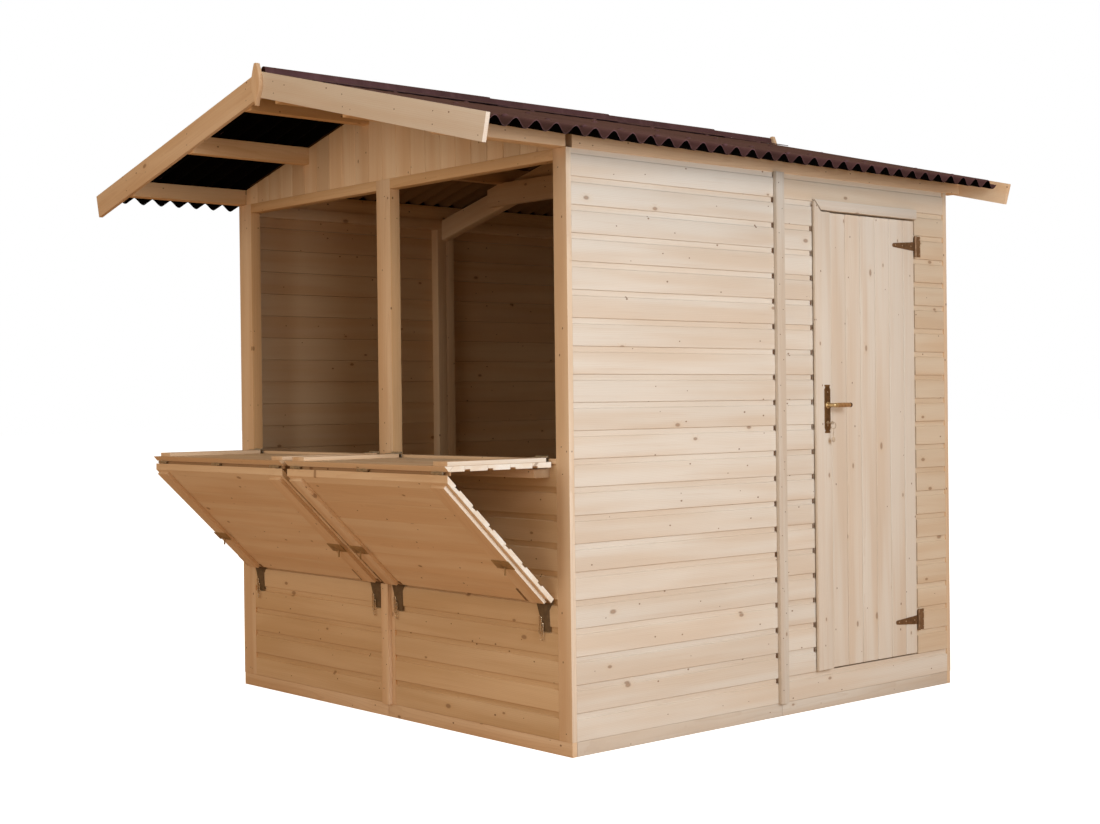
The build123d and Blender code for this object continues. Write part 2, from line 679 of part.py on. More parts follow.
with BuildPart() as counter_right:
    counter_leaf(FLAP_RIGHT)
save(counter_right, "counter_right")

with BuildPart() as counter_battens_left:
    counter_battens(FLAP_LEFT)
save(counter_battens_left, "counter_battens_left")

with BuildPart() as counter_battens_right:
    counter_battens(FLAP_RIGHT)
save(counter_battens_right, "counter_battens_right")

with BuildPart() as brace_left:
    brace_leaf(FLAP_LEFT)
save(brace_left, "brace_left")

with BuildPart() as brace_right:
    brace_leaf(FLAP_RIGHT)
save(brace_right, "brace_right")

with BuildPart() as brace_battens_left:
    brace_battens(FLAP_LEFT)
save(brace_battens_left, "brace_battens_left")

with BuildPart() as brace_battens_right:
    brace_battens(FLAP_RIGHT)
save(brace_battens_right, "brace_battens_right")


def brace_hinges(ends):
    """Adds the hinge halves along the upper edge of a brace leaf."""
    for x in brace_hinge_places(ends):
        hinge_half(x, brace_pin, (0, brace_along.Y, brace_along.Z), -PIN_PROUD, middle=True)


with BuildPart() as brace_hinges_left:
    brace_hinges(FLAP_LEFT)
save(brace_hinges_left, "brace_hinges_left")

with BuildPart() as brace_hinges_right:
    brace_hinges(FLAP_RIGHT)
save(brace_hinges_right, "brace_hinges_right")

# ---- Hasps, bolts and hooks that hold the braces
batten_centres = [sum(span) / 2 for ends in (FLAP_LEFT, FLAP_RIGHT) for span in batten_ends(ends)]
hasp_top = brace_foot_z - CLEARANCE
with BuildPart() as wall_hasps:
    for x in batten_centres:
        upright([(x - HASP_TOP_LEFT, hasp_top), (x + HASP_TOP_RIGHT, hasp_top),
                 (x + HASP_NECK_RIGHT, hasp_top - HASP_NECK_DROP),
                 (x + HASP_FOOT_RIGHT, hasp_top - HASP_LENGTH),
                 (x - HASP_FOOT_LEFT, hasp_top - HASP_LENGTH),
                 (x - HASP_NECK_LEFT, hasp_top - HASP_NECK_DROP)],
                front_y - HASP_THICKNESS, HASP_THICKNESS)
save(wall_hasps, "wall_hasps")


def wire_hook(x, top, y):
    """Adds a long closed wire loop hanging in front of a hasp."""
    radius = HOOK_WIDTH / 2
    with BuildSketch(Plane.XZ.offset(-y)) as loop:
        with Locations((x, top - HOOK_LENGTH / 2)):
            RectangleRounded(HOOK_WIDTH, HOOK_LENGTH, radius * 0.95)
            RectangleRounded(HOOK_WIDTH - 2 * HOOK_WIRE, HOOK_LENGTH - 2 * HOOK_WIRE,
                             (radius - HOOK_WIRE) * 0.95, mode=Mode.SUBTRACT)
    extrude(loop.sketch, amount=HOOK_WIRE)


with BuildPart() as snap_hooks:
    hook_top = hasp_top - HASP_LENGTH + HOOK_HEIGHT
    hook_y = front_y - HASP_THICKNESS
    for x in batten_centres:
        wire_hook(x + HOOK_X, hook_top, hook_y)
        wire_hook(x + HOOK_X + HOOK_STEP[0], hook_top + HOOK_STEP[1], hook_y - HOOK_WIRE)
save(snap_hooks, "snap_hooks")


def brace_hasps(ends):
    """Adds the straps beside the batten feet, under a brace leaf."""
    for x0, x1 in batten_ends(ends):
        brace_slab(x0 - WING_WIDTH, x0, brace_length - WING_LENGTH, brace_length, FLAP_BOARD, HASP_THICKNESS)
        brace_slab(x1, x1 + TAB_WIDTH, brace_length - TAB_LENGTH, brace_length, FLAP_BOARD, HASP_THICKNESS)


def brace_bolts(ends):
    """Adds the bolt plates with their hanging pins, under the battens of a brace."""
    for x0, x1 in batten_ends(ends):
        x = (x0 + x1) / 2
        low = brace_length - BOLT_PLACE
        depth = FLAP_BOARD + FLAP_BATTEN
        brace_slab(x - BOLT_PLATE / 2, x + BOLT_PLATE / 2, low - BOLT_HEIGHT, low, depth, HASP_THICKNESS)
        plate = brace_plane(x, depth + HASP_THICKNESS)
        hang = plate.from_local_coords(Vector(low - BOLT_PIN_RADIUS * 2, 0, 0))
        with BuildSketch(Plane.XY.offset(hang.Z + HASP_THICKNESS / 2)) as pin:
            with Locations((x, hang.Y)):
                Circle(BOLT_PIN_RADIUS)
        extrude(pin.sketch, amount=-BOLT_PIN_LENGTH)


with BuildPart() as brace_hasps_left:
    brace_hasps(FLAP_LEFT)
save(brace_hasps_left, "brace_hasps_left")

with BuildPart() as brace_hasps_right:
    brace_hasps(FLAP_RIGHT)
save(brace_hasps_right, "brace_hasps_right")

with BuildPart() as brace_bolts_left:
    brace_bolts(FLAP_LEFT)
save(brace_bolts_left, "brace_bolts_left")

with BuildPart() as brace_bolts_right:
    brace_bolts(FLAP_RIGHT)
save(brace_bolts_right, "brace_bolts_right")

# ---- Door
leaf_x0 = stud_x
leaf_x1 = side_x
with BuildPart() as door_leaf:
    timber(leaf_x0, leaf_x1, door_front_y, door_rear_y, DOOR_BOTTOM, door_top)
save(door_leaf, "door_leaf")

strip_y0 = door_front_y - DOOR_STRIP_LAP
strip_y1 = strip_y0 + DOOR_STRIP_WIDTH
strip_x = side_x + DOOR_STRIP_PROUD
with BuildPart() as door_strip:
    extruded([(strip_y0, DOOR_BOTTOM), (strip_y1, DOOR_BOTTOM), (strip_y1, door_top),
              (door_front_y, door_top), (strip_y0, door_top + DOOR_STRIP_LAP)],
             Plane.YZ.offset(side_x + DOOR_STRIP_REBATE), DOOR_STRIP_PROUD - DOOR_STRIP_REBATE)
    timber(side_x, strip_x, door_front_y, strip_y1, DOOR_BOTTOM, door_top)
save(door_strip, "door_strip")

with BuildPart() as door_ledges:
    for z in (DOOR_BOTTOM + LEDGE_FOOT, (DOOR_BOTTOM + door_top) / 2, door_top - LEDGE_HEAD):
        timber(leaf_x0 - LEDGE_DEPTH, leaf_x0, door_front_y + LEDGE_INSET, door_rear_y - LEDGE_INSET,
               z, z + LEDGE_HEIGHT)
save(door_ledges, "door_ledges")

trim_z0 = door_top + DOOR_GAP
trim_z1 = trim_z0 + HEAD_TRIM_HEIGHT
mitre_y = door_front_y + door_top + DOOR_GAP * 2 ** 0.5    # Y plus Z along the mitre
with BuildPart() as door_head_trim:
    extruded([(mitre_y - trim_z0, trim_z0), (door_rear_y, trim_z0), (door_rear_y, trim_z1),
              (mitre_y - trim_z1, trim_z1)], Plane.YZ.offset(side_x), STRIP_THICKNESS)
save(door_head_trim, "door_head_trim")

# ---- Door hinges
hinge_y = door_rear_y + DOOR_GAP / 2
hinge_x = side_x + HINGE_RADIUS + HINGE_STANDOFF
hinge_heights = (DOOR_BOTTOM + HINGE_FOOT, door_top - HINGE_HEAD)


def cylinder_between(plane, centre, radius, length):
    """Adds a round bar that starts on a plane and runs along the plane's normal."""
    with BuildSketch(plane) as ring:
        with Locations(centre):
            Circle(radius)
    extrude(ring.sketch, amount=length)


with BuildPart() as hinge_straps:
    strap_y = hinge_y - 2 * FIT
    for z in hinge_heights:
        with BuildSketch(Plane.YZ.offset(side_x)) as strap:
            with BuildLine():
                Polyline((strap_y, z - STRAP_ROOT / 2), (strap_y, z + STRAP_ROOT / 2),
                         (hinge_y - STRAP_LENGTH, z + STRAP_TIP / 2))
                ThreePointArc((hinge_y - STRAP_LENGTH, z + STRAP_TIP / 2),
                              (hinge_y - STRAP_LENGTH - STRAP_TIP / 2, z),
                              (hinge_y - STRAP_LENGTH, z - STRAP_TIP / 2))
                Line((hinge_y - STRAP_LENGTH, z - STRAP_TIP / 2), (strap_y, z - STRAP_ROOT / 2))
            make_face()
        extrude(strap.sketch, amount=STRAP_THICKNESS)
        cylinder_between(Plane.XY.offset(z - STRAP_ROOT / 2), (hinge_x, hinge_y), HINGE_RADIUS, STRAP_ROOT)
save(hinge_straps, "hinge_straps")

with BuildPart() as hinge_plates:
    plate_start = hinge_y + HINGE_RADIUS + FIT
    for z in hinge_heights:
        timber(side_x, side_x + STRAP_THICKNESS, plate_start, hinge_y + HINGE_RADIUS + PLATE_WIDTH,
               z - PLATE_HEIGHT / 2, z + PLATE_HEIGHT / 2)
        for z0, z1 in ((z - PLATE_HEIGHT / 2, z - STRAP_ROOT / 2 - KNUCKLE_GAP),
                       (z + STRAP_ROOT / 2 + KNUCKLE_GAP, z + PLATE_HEIGHT / 2)):
            cylinder_between(Plane.XY.offset(z0), (hinge_x, hinge_y), HINGE_RADIUS, z1 - z0)
            timber(side_x, side_x + STRAP_THICKNESS, hinge_y, plate_start + FIT, z0, z1)
save(hinge_plates, "hinge_plates")

# ---- Handle
handle_y = door_front_y + HANDLE_INSET
plate_top = HANDLE_HEIGHT + HANDLE_PLATE_RISE
plate_foot = HANDLE_HEIGHT - HANDLE_PLATE_DROP
plate_face = strip_x + HANDLE_PLATE_THICKNESS
with BuildPart() as handle_plate:
    half = HANDLE_PLATE_WIDTH / 2
    waist = HANDLE_PLATE_WAIST / 2
    outline = [(waist, SCROLL_HEIGHT), (half, 2 * SCROLL_HEIGHT)]
    side = [(half - 2, 0), (half - 2, SCROLL_HEIGHT / 2)] + outline
    right = [(handle_y + w, plate_foot + z) for w, z in side]
    right += [(handle_y + w, plate_top - z) for w, z in reversed(side)]
    left = [(2 * handle_y - y, z) for y, z in reversed(right)]
    extruded(right + left, Plane.YZ.offset(strip_x), HANDLE_PLATE_THICKNESS)
save(handle_plate, "handle_plate")

lever_x = plate_face + LEVER_GAP
with BuildPart() as lever:
    cylinder_between(Plane.YZ.offset(lever_x), (handle_y, HANDLE_HEIGHT), LEVER_RADIUS, LEVER_REACH)
    axis_x = lever_x + LEVER_REACH - GRIP_RADIUS
    cylinder_between(Plane.XZ.offset(-handle_y), (axis_x, HANDLE_HEIGHT), LEVER_RADIUS, -LEVER_COLLAR)
    cylinder_between(Plane.XZ.offset(-handle_y - LEVER_COLLAR), (axis_x, HANDLE_HEIGHT), GRIP_RADIUS,
                     LEVER_COLLAR - LEVER_LENGTH)
save(lever, "lever")

key_z = HANDLE_HEIGHT - KEY_DROP
with BuildPart() as door_key:
    cylinder_between(Plane.YZ.offset(plate_face), (handle_y, key_z), KEY_RADIUS, KEY_REACH)
    with BuildSketch(Plane.YZ.offset(plate_face + KEY_REACH)) as ring:
        with Locations((handle_y, key_z - KEY_RING / 2)):
            Circle(KEY_RING)
            Circle(KEY_RING - KEY_RING_WIRE, mode=Mode.SUBTRACT)
        with Locations((handle_y, key_z)):
            Circle(KEY_RADIUS * 2)
    extrude(ring.sketch, amount=KEY_RING_WIRE)
    cord_top = key_z - KEY_RING * 1.5 + KEY_RING_WIRE
    cord_x = plate_face + KEY_REACH
    timber(cord_x, cord_x + KEY_RING_WIRE, handle_y - KEY_RING_WIRE / 2, handle_y + KEY_RING_WIRE / 2,
           cord_top - KEY_CORD, cord_top)
    timber(cord_x, cord_x + KEY_RING_WIRE, handle_y - KEY_TAG / 2, handle_y + KEY_TAG / 2,
           cord_top - KEY_CORD - KEY_TAG / 2, cord_top - KEY_CORD)
save(door_key, "door_key")
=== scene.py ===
import json
import math
import random

import bmesh
import bpy
from mathutils import Matrix, Vector


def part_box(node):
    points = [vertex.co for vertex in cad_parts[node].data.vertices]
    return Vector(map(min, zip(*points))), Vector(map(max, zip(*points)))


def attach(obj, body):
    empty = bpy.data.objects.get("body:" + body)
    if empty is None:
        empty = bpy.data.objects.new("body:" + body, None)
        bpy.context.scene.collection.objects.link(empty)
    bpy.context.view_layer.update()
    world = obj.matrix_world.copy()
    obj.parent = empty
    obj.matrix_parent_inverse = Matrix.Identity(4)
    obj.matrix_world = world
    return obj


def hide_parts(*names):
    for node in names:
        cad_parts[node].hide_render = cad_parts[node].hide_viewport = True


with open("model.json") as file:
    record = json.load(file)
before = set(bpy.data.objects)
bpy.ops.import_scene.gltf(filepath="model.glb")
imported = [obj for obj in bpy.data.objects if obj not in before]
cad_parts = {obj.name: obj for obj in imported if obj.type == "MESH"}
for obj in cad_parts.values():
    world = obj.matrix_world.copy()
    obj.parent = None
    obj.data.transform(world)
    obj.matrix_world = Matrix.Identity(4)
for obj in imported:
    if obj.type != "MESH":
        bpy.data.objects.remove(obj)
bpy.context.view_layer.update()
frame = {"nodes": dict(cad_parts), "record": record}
rng = random.Random(71)

BEHAVIOUR = frame["record"]["behaviour"]
JOINTS = {j["name"]: j for j in BEHAVIOUR["joints"]}
BODY_OF = {n: b for b, ns in BEHAVIOUR["bodies"].items() for n in ns}
AXES = X, Y, Z = Vector((1, 0, 0)), Vector((0, 1, 0)), Vector((0, 0, 1))

# ---- Studio light: a cool softbox on the door side, and warm fill all round
BOUNCE = (0.58, 0.40, 0.24, 1)
AMBIENT = (0.40, 0.255, 0.138, 1)
LIGHTS = (
    ("key_softbox", (5.5, -1.25, 2.3), (1.0, -0.3, 0.9), 2.0, 2.6, 165, (0.90, 0.95, 1.0)),
    ("front_fill", (0.4, -6.5, 2.4), (0, -1, 1.3), 4.0, 3.0, 71, (0.96, 0.91, 0.82)),
    ("rear_fill", (-4.6, 4.9, 2.6), (0, 0.2, 1.0), 3.6, 3.0, 150, (1.0, 0.92, 0.82)),
)
FLOOR_HALF = 60.0         # of the studio floor's side

# ---- Camera, at the photo's angle
LENS, SENSOR = 54.98, 36.0
CAMERA_PLACE = (5.1245, -4.7047, 1.1711)
CAMERA_AZIMUTH, CAMERA_DROP, CAMERA_ROLL = 48.82, 0.37, 0.66   # degrees

# ---- Sizes that the frame doesn't give, in metres
ROW_FOOT = 0.049          # lower edge of the first row of wall boards
ROW = 0.09305             # cover of a wall board
MOST_ROWS = 60
CLADDING = 0.018
REBATE_FOOT, REBATE_DEPTH = 0.0752, 0.0060     # of the rebate along the top of a wall board
NOTCH_HEIGHT, NOTCH_WIDTH = 0.0168, 0.0045     # of the painted shadows in the slots beside the strips
SINK = 0.0004             # the most that a board stands back from its neighbours
CHAMFER = 0.0012
DOOR_SIDE_X = 0.9         # what lies beyond is in the door's wall
GABLE_BOARDS, FLOOR_BOARDS = 22, 21
DOOR_SEAMS = (0.230, 0.300, 0.390, 0.479, 0.571, 0.660, 0.751, 0.821)
LEAF_PITCH, LEAF_REBATE, LEAF_DEPTH = 0.094, 0.021, 0.007      # rebated boards of the flaps' leaves
COUNTER_FIRST, BRACE_FIRST, BEVEL = 0.076, 0.059, 0.016        # their first boards and slanted edges
LATH_INSET, LATH_THICK, LATH_DROP = 0.010, 0.006, 0.0082       # inset and drop from the outer pins
TIE_DEPTH, TIE_THICK, TIE_REACH, TIE_CUT = 0.097, 0.026, 0.60, 0.022
HOOK_WIDTH, HOOK_HEIGHT, HOOK_WIRE = 0.015, 0.060, 0.0017
SLOPE = math.radians(14)
SIN, COS, TAN = math.sin(SLOPE), math.cos(SLOPE), math.tan(SLOPE)
WAVE, WAVE_RISE, SHEET_THICK = 0.082, 0.030, 0.003
WAVE_STEPS, SHEET_ROWS = 12, 9
CAP_JOINTS, CAP_LAP, CAP_LIFT = (-0.57, 0.07, 0.71), 0.045, 0.0046
REAR_BARGE_DROP = 0.008   # upper edge of the rear barge boards, below the solid's
ROOF_NAIL_LINES, ROOF_NAIL_WAVES = (0.160, 0.516, 1.000, 1.175), range(1, 32, 4)
SCREW_RADIUS, SCREW_RISE, SCREW_SIDES = 0.0030, 0.0009, 12
STRIP_NAIL, BOARD_NAIL, NAIL_RISE = 0.0019, 0.0021, 0.0003     # radii, and how far heads stand out

# ---- Tints that multiply a board's colour: most are painted shade or painted light on certain faces
PLAIN = (1.0, 1.0, 1.0)
INSIDE_SHADE = (0.90, 0.66, 0.42)        # painted shade on the boards' inner faces
# painted shade toward the door wall's rear end and under its eave
REAR_FALLOFF_SHADE, EAVE_SHADE = (0.93, 0.85, 0.74), (0.97, 0.92, 0.85)
# painted light on the door-side corner's lit outer face, painted shade on post faces inside the openings
CORNER_LIT_FACE, OPENING_SHADE = (0.98, 1.09, 1.27), (1.0, 0.86, 0.66)
# painted light on the rear corner post's lit outer face
REAR_CORNER_LIT_FACE = (0.98, 1.04, 1.13)
# painted shade on the counter rail's end and on the lath in the slit
RAIL_END_SHADE, LATH_SHADE = (0.42, 0.36, 0.30), (0.55, 0.46, 0.38)
# painted light on the lit outer ends of the right leaf
LIT_END_LIGHT = (1.10, 1.38, 1.85)


# ======== materials
class Nodes:
    """A short way to write a material's node tree."""

    def __init__(self, name):
        self.mat = bpy.data.materials.new(name)
        self.mat.use_nodes = True
        self.tree = self.mat.node_tree
        self.tree.nodes.clear()
        out = self.tree.nodes.new("ShaderNodeOutputMaterial")
        self.bsdf = self.tree.nodes.new("ShaderNodeBsdfPrincipled")
        self.put(self.bsdf.outputs[0], out.inputs[0])

    def put(self, value, socket):
        if isinstance(value, bpy.types.NodeSocket):
            self.tree.links.new(value, socket)
        else:
            socket.default_value = value

    def node(self, kind, **settings):
        n = self.tree.nodes.new("ShaderNode" + kind)
        for k, v in settings.items():
            setattr(n, k, v)
        return n

    def attribute(self, name, output):
        return self.node("Attribute", attribute_name=name).outputs[output]

    def split(self, vector):
        n = self.node("SeparateXYZ")
        self.put(vector, n.inputs[0])
        return n.outputs

    def joined(self, kind, *values):
        """A vector or colour from up to three values."""
        n = self.node(kind)
        for value, socket in zip(values, n.inputs):
            self.put(value, socket)
        return n.outputs[0]

    def math(self, op, a, b=0.0):
        return self.two("Math", op, a, b)

    def times(self, a, b):
        return self.two("Math", "MULTIPLY", a, b)

    def plus(self, a, b):
        return self.two("Math", "ADD", a, b)

    def stretch(self, vector, by):
        return self.two("VectorMath", "MULTIPLY", vector, by)

    def two(self, kind, op, a, b):
        n = self.node(kind, operation=op)
        self.put(a, n.inputs[0])
        self.put(b, n.inputs[1])
        return n.outputs[0]

    def noise(self, vector, scale, detail=2.0, rough=0.5):
        n = self.node("TexNoise")
        self.put(vector, n.inputs["Vector"])
        n.inputs["Scale"].default_value = scale
        n.inputs["Detail"].default_value = detail
        n.inputs["Roughness"].default_value = rough
        return n.outputs[0]

    def ramp(self, fac, stops):
        """Grey values at places along the ramp."""
        n = self.node("ValToRGB")
        self.put(fac, n.inputs[0])
        elements = n.color_ramp.elements
        while len(elements) < len(stops):
            elements.new(0.5)
        for e, (at, grey) in zip(elements, stops):
            e.position, e.color = at, (grey, grey, grey, 1)
        return n.outputs[0]

    def span(self, value, low, high, to_low=0.0, to_high=1.0):
        n = self.node("MapRange", interpolation_type="SMOOTHSTEP")
        for v, socket in zip((value, low, high, to_low, to_high), n.inputs):
            self.put(v, socket)
        return n.outputs[0]

    def mix(self, fac, a, b, mode="MIX"):
        n = self.node("Mix", data_type="RGBA", blend_type=mode)
        self.put(fac, n.inputs[0])
        for value, socket in ((a, n.inputs[6]), (b, n.inputs[7])):
            self.put((*value, 1) if isinstance(value, tuple) and len(value) == 3 else value, socket)
        return n.outputs[2]

    def finish(self, colour, roughness, height=None, strength=0.0, distance=0.0):
        """Colour, roughness and bump go into the shader."""
        self.put(colour, self.bsdf.inputs["Base Color"])
        self.put(roughness, self.bsdf.inputs["Roughness"])
        if height:
            n = self.node("Bump")
            n.inputs["Strength"].default_value = strength
            n.inputs["Distance"].default_value = distance
            self.put(height, n.inputs["Height"])
            self.put(n.outputs[0], self.bsdf.inputs["Normal"])
        return self.mat


def rgb(r, g, b):
    """A colour as read off a screen, as the shader takes it."""
    return tuple(((c / 255 + 0.055) / 1.055) ** 2.4 if c > 10 else c / 255 / 12.92 for c in (r, g, b))


def dimmed(colour, *by):
    """A colour times one factor, or times a factor for each of its parts."""
    return tuple(c * f for c, f in zip(colour, by if len(by) == 3 else by * 3))


def roof_underside():
    """The sheets' underside: painted near-black as deep shade out in the overhang, brown indoors."""
    m = Nodes("roofing_underside")
    where = m.node("TexCoord").outputs["Object"]
    place = m.split(where)
    fibres = m.noise(where, 300.0, 3.0, 0.65)
    within = m.span(m.math("ABSOLUTE", place[0]), 0.99, 1.01, 1.0, 0.0)
    indoors = m.times(m.span(place[1], -1.05, -1.03), within)
    # painted shade: near-black under the overhang, brown inside the walls
    colour = m.mix(indoors, rgb(3, 3, 3), rgb(150, 122, 94))
    colour = m.mix(m.times(fibres, 0.3), colour, rgb(1, 1, 1))
    m.bsdf.inputs["Specular IOR Level"].default_value = 0.03
    return m.finish(colour, 1.0)


def spruce(name, pale, warm, knot, rings_seen, knots_seen=0.8, pin_share=0.46):
    """Planed spruce: faint growth rings and fibre, pin knots and a few larger ones, along each board."""
    m = Nodes(name)
    grain = m.attribute("grain", "Vector")
    tone = m.attribute("tone", "Fac")
    along, across, depth = m.split(grain)
    flat = m.joined("CombineXYZ", along, m.plus(across, depth))

    def knots(cell, share, least, spread):
        """Knots in some cells of a grid stretched along the board: distance in radii, and which cells."""
        cells = m.node("TexVoronoi", voronoi_dimensions="2D")
        m.put(m.stretch(flat, cell), cells.inputs["Vector"])
        cells.inputs["Scale"].default_value = 1.0
        chance = m.node("SeparateColor")
        m.put(cells.outputs["Color"], chance.inputs[0])
        radius = m.plus(m.times(chance.outputs[1], spread), least)
        return (m.math("DIVIDE", cells.outputs["Distance"], radius),
                m.math("LESS_THAN", chance.outputs[0], share))

    away, has = knots((7.0, 10.5, 1.0), pin_share, 0.016, 0.020)
    pins = m.times(m.span(away, 1.2, 0.7), has)
    away, has = knots((3.8, 7.0, 1.0), 0.36, 0.018, 0.020)
    core = m.times(m.span(away, 1.2, 0.8), has)
    rim = m.times(m.times(m.span(away, 1.9, 1.15), m.span(away, 0.6, 1.0)), has)
    halo = m.times(m.span(away, 5.0, 1.0), has)

    # growth rings, pushed aside round the knots
    wander = m.noise(m.stretch(grain, (1.3, 11.0, 11.0)), 1.0, 2.5)
    push = m.plus(m.times(wander, 0.03), m.times(halo, 0.011))
    rings = m.node("TexWave", wave_type="RINGS", rings_direction="X", wave_profile="SAW")
    m.put(m.two("VectorMath", "ADD", grain, m.joined("CombineXYZ", 0.0, push, push)), rings.inputs["Vector"])
    for key, value in (("Scale", 58.0), ("Distortion", 1.2), ("Detail", 2.0), ("Detail Scale", 0.6)):
        rings.inputs[key].default_value = value
    late = m.ramp(rings.outputs["Fac"], [(0.0, 0), (0.62, 0.16), (0.93, 1), (1.0, 0)])

    broad = m.noise(m.stretch(grain, (0.9, 14.0, 14.0)), 1.0, 2.0)
    streaks = m.noise(m.stretch(grain, (2.4, 95.0, 95.0)), 1.0, 3.0, 0.6)
    fibre = m.noise(m.stretch(grain, (16.0, 900.0, 900.0)), 1.0, 2.0, 0.6)
    patchy = m.noise(m.stretch(grain, (2.6, 4.0, 4.0)), 1.0, 2.0)

    colour = m.mix(m.span(broad, 0.32, 0.68), pale, warm)
    colour = m.mix(m.times(late, rings_seen), colour, dimmed(warm, 0.74, 0.62, 0.50))
    colour = m.mix(m.times(m.span(streaks, 0.52, 0.78), 0.22), colour, dimmed(warm, 0.84, 0.75, 0.66))
    shade = m.plus(m.times(tone, 0.055), 0.97)
    shade = m.times(shade, m.plus(m.times(patchy, 0.08), 0.96))
    shade = m.times(shade, m.plus(m.times(fibre, 0.06), 0.97))
    colour = m.mix(1.0, colour, m.joined("CombineColor", shade, shade, shade), "MULTIPLY")
    colour = m.mix(m.times(halo, 0.16), colour, dimmed(warm, 0.94, 0.80, 0.62))
    colour = m.mix(m.times(rim, 0.50 * knots_seen), colour, dimmed(knot, 0.7))
    colour = m.mix(m.times(core, 0.75 * knots_seen), colour, knot)
    colour = m.mix(m.times(pins, knots_seen), colour, dimmed(knot, 0.75))
    # the tint attribute carries painted shade and painted light on some faces
    colour = m.mix(1.0, colour, m.attribute("tint", "Color"), "MULTIPLY")
    rough = m.plus(m.times(late, -0.08), m.plus(m.times(streaks, 0.12), 0.56))
    m.bsdf.inputs["Specular IOR Level"].default_value = 0.28
    height = m.plus(m.plus(m.times(late, 0.4), m.times(fibre, 0.8)), m.times(core, 0.6))
    return m.finish(colour, rough, height, 0.30, 0.0006)


def lacquered(name, colour, worn, roughness, metallic, wear=0.35, scale=60.0):
    """Lacquered or plated ironmongery with a little wear and grime."""
    m = Nodes(name)
    where = m.node("TexCoord").outputs["Object"]
    cloud = m.noise(where, scale, 4.0, 0.6)
    speck = m.noise(where, scale * 9, 3.0, 0.7)
    edge = m.node("NewGeometry").outputs["Pointiness"]
    tint = m.mix(m.span(cloud, 0.35, 0.7), colour, dimmed(colour, 0.62))
    tint = m.mix(m.times(m.span(speck, 0.55, 0.75), 0.30), tint, dimmed(colour, 0.45))
    tint = m.mix(m.times(m.span(edge, 0.51, 0.58), wear), tint, worn)
    m.bsdf.inputs["Metallic"].default_value = metallic
    return m.finish(tint, m.plus(m.times(cloud, 0.22), roughness - 0.1),
                    m.plus(cloud, m.times(speck, 0.5)), 0.18, 0.0006)


def roofing():
    """Brown-plum bitumen sheet: fibrous and matt, paler on the crests from chalk and painted light, with
    painted shade darkening the flutes.
    """
    m = Nodes("roofing_sheet")
    where = m.node("TexCoord").outputs["Object"]
    crest = m.attribute("crest", "Fac")
    fibres = m.noise(m.stretch(where, (1.0, 1.6, 1.0)), 420.0, 3.0, 0.65)
    cloud = m.noise(where, 3.2, 4.0, 0.6)
    run = m.noise(m.stretch(where, (1.2, 22.0, 1.2)), 1.0, 4.0, 0.6)
    dark, mid, chalk = rgb(60, 36, 42), rgb(90, 59, 68), rgb(130, 98, 106)
    colour = m.mix(m.span(cloud, 0.3, 0.7), mid, dark)
    colour = m.mix(m.times(m.span(run, 0.45, 0.75), 0.35), colour, chalk)
    # crests paler: chalk and painted highlight; flutes darker: painted shade
    colour = m.mix(m.times(m.span(crest, 0.55, 1.0), 0.30), colour, chalk)
    colour = m.mix(m.times(m.span(crest, 0.30, 0.0), 0.55), colour, dimmed(dark, 0.55))
    colour = m.mix(m.times(fibres, 0.35), colour, dimmed(dark, 0.6))
    m.bsdf.inputs["Specular IOR Level"].default_value = 0.35
    return m.finish(colour, m.plus(m.times(fibres, 0.25), 0.45), fibres, 0.30, 0.0008)


KNOT = rgb(140, 104, 74)
MATS = {
    "spruce": spruce("spruce_boards", rgb(226, 222, 213), rgb(218, 206, 190), KNOT, 0.18),
    "spruce_frame": spruce("spruce_timbers", rgb(236, 213, 183), rgb(223, 193, 157), KNOT, 0.22, 0.85, 0.75),
    "floor_board": spruce("spruce_floor", rgb(222, 202, 174), rgb(206, 180, 146), rgb(112, 76, 50), 0.40),
    "roofing": roofing(),
    "hinge_steel": lacquered("brown_lacquer", rgb(132, 102, 74), rgb(178, 148, 116), 0.42, 0.5),
    "handle_metal": lacquered("bronze_lacquer", rgb(124, 94, 62), rgb(200, 168, 118), 0.36, 0.7),
    "zinc_steel": lacquered("zinc_plate", rgb(198, 190, 172), rgb(226, 222, 212), 0.32, 0.95, 0.2),
}
LEAF = spruce("spruce_leaves", rgb(236, 215, 185), rgb(226, 197, 161), KNOT, 0.16, 0.85, 0.55)
# painted shade: a darker, warmer copy of the board spruce for the shaded front wall
FRONT_SHADED = spruce("spruce_front_shaded", rgb(225, 199, 163), rgb(211, 181, 141), KNOT, 0.18, 0.85, 0.50)
# painted shade: a darker copy of the timber spruce for the purlins and lintel in the roof's shade
PURLIN_SHADED = spruce("spruce_purlins_shaded", rgb(226, 194, 152), rgb(210, 172, 126), KNOT, 0.20, 0.85, 0.75)
UNDERSIDE = roof_underside()
BRASS = lacquered("brass_collar", rgb(222, 196, 146), rgb(240, 222, 176), 0.30, 0.8)
GRIP = lacquered("golden_grip", rgb(186, 144, 96), rgb(210, 172, 124), 0.36, 0.45, scale=90.0)
NAIL = lacquered("dull_nail", rgb(96, 74, 56), rgb(150, 126, 100), 0.5, 0.4, 0.2)
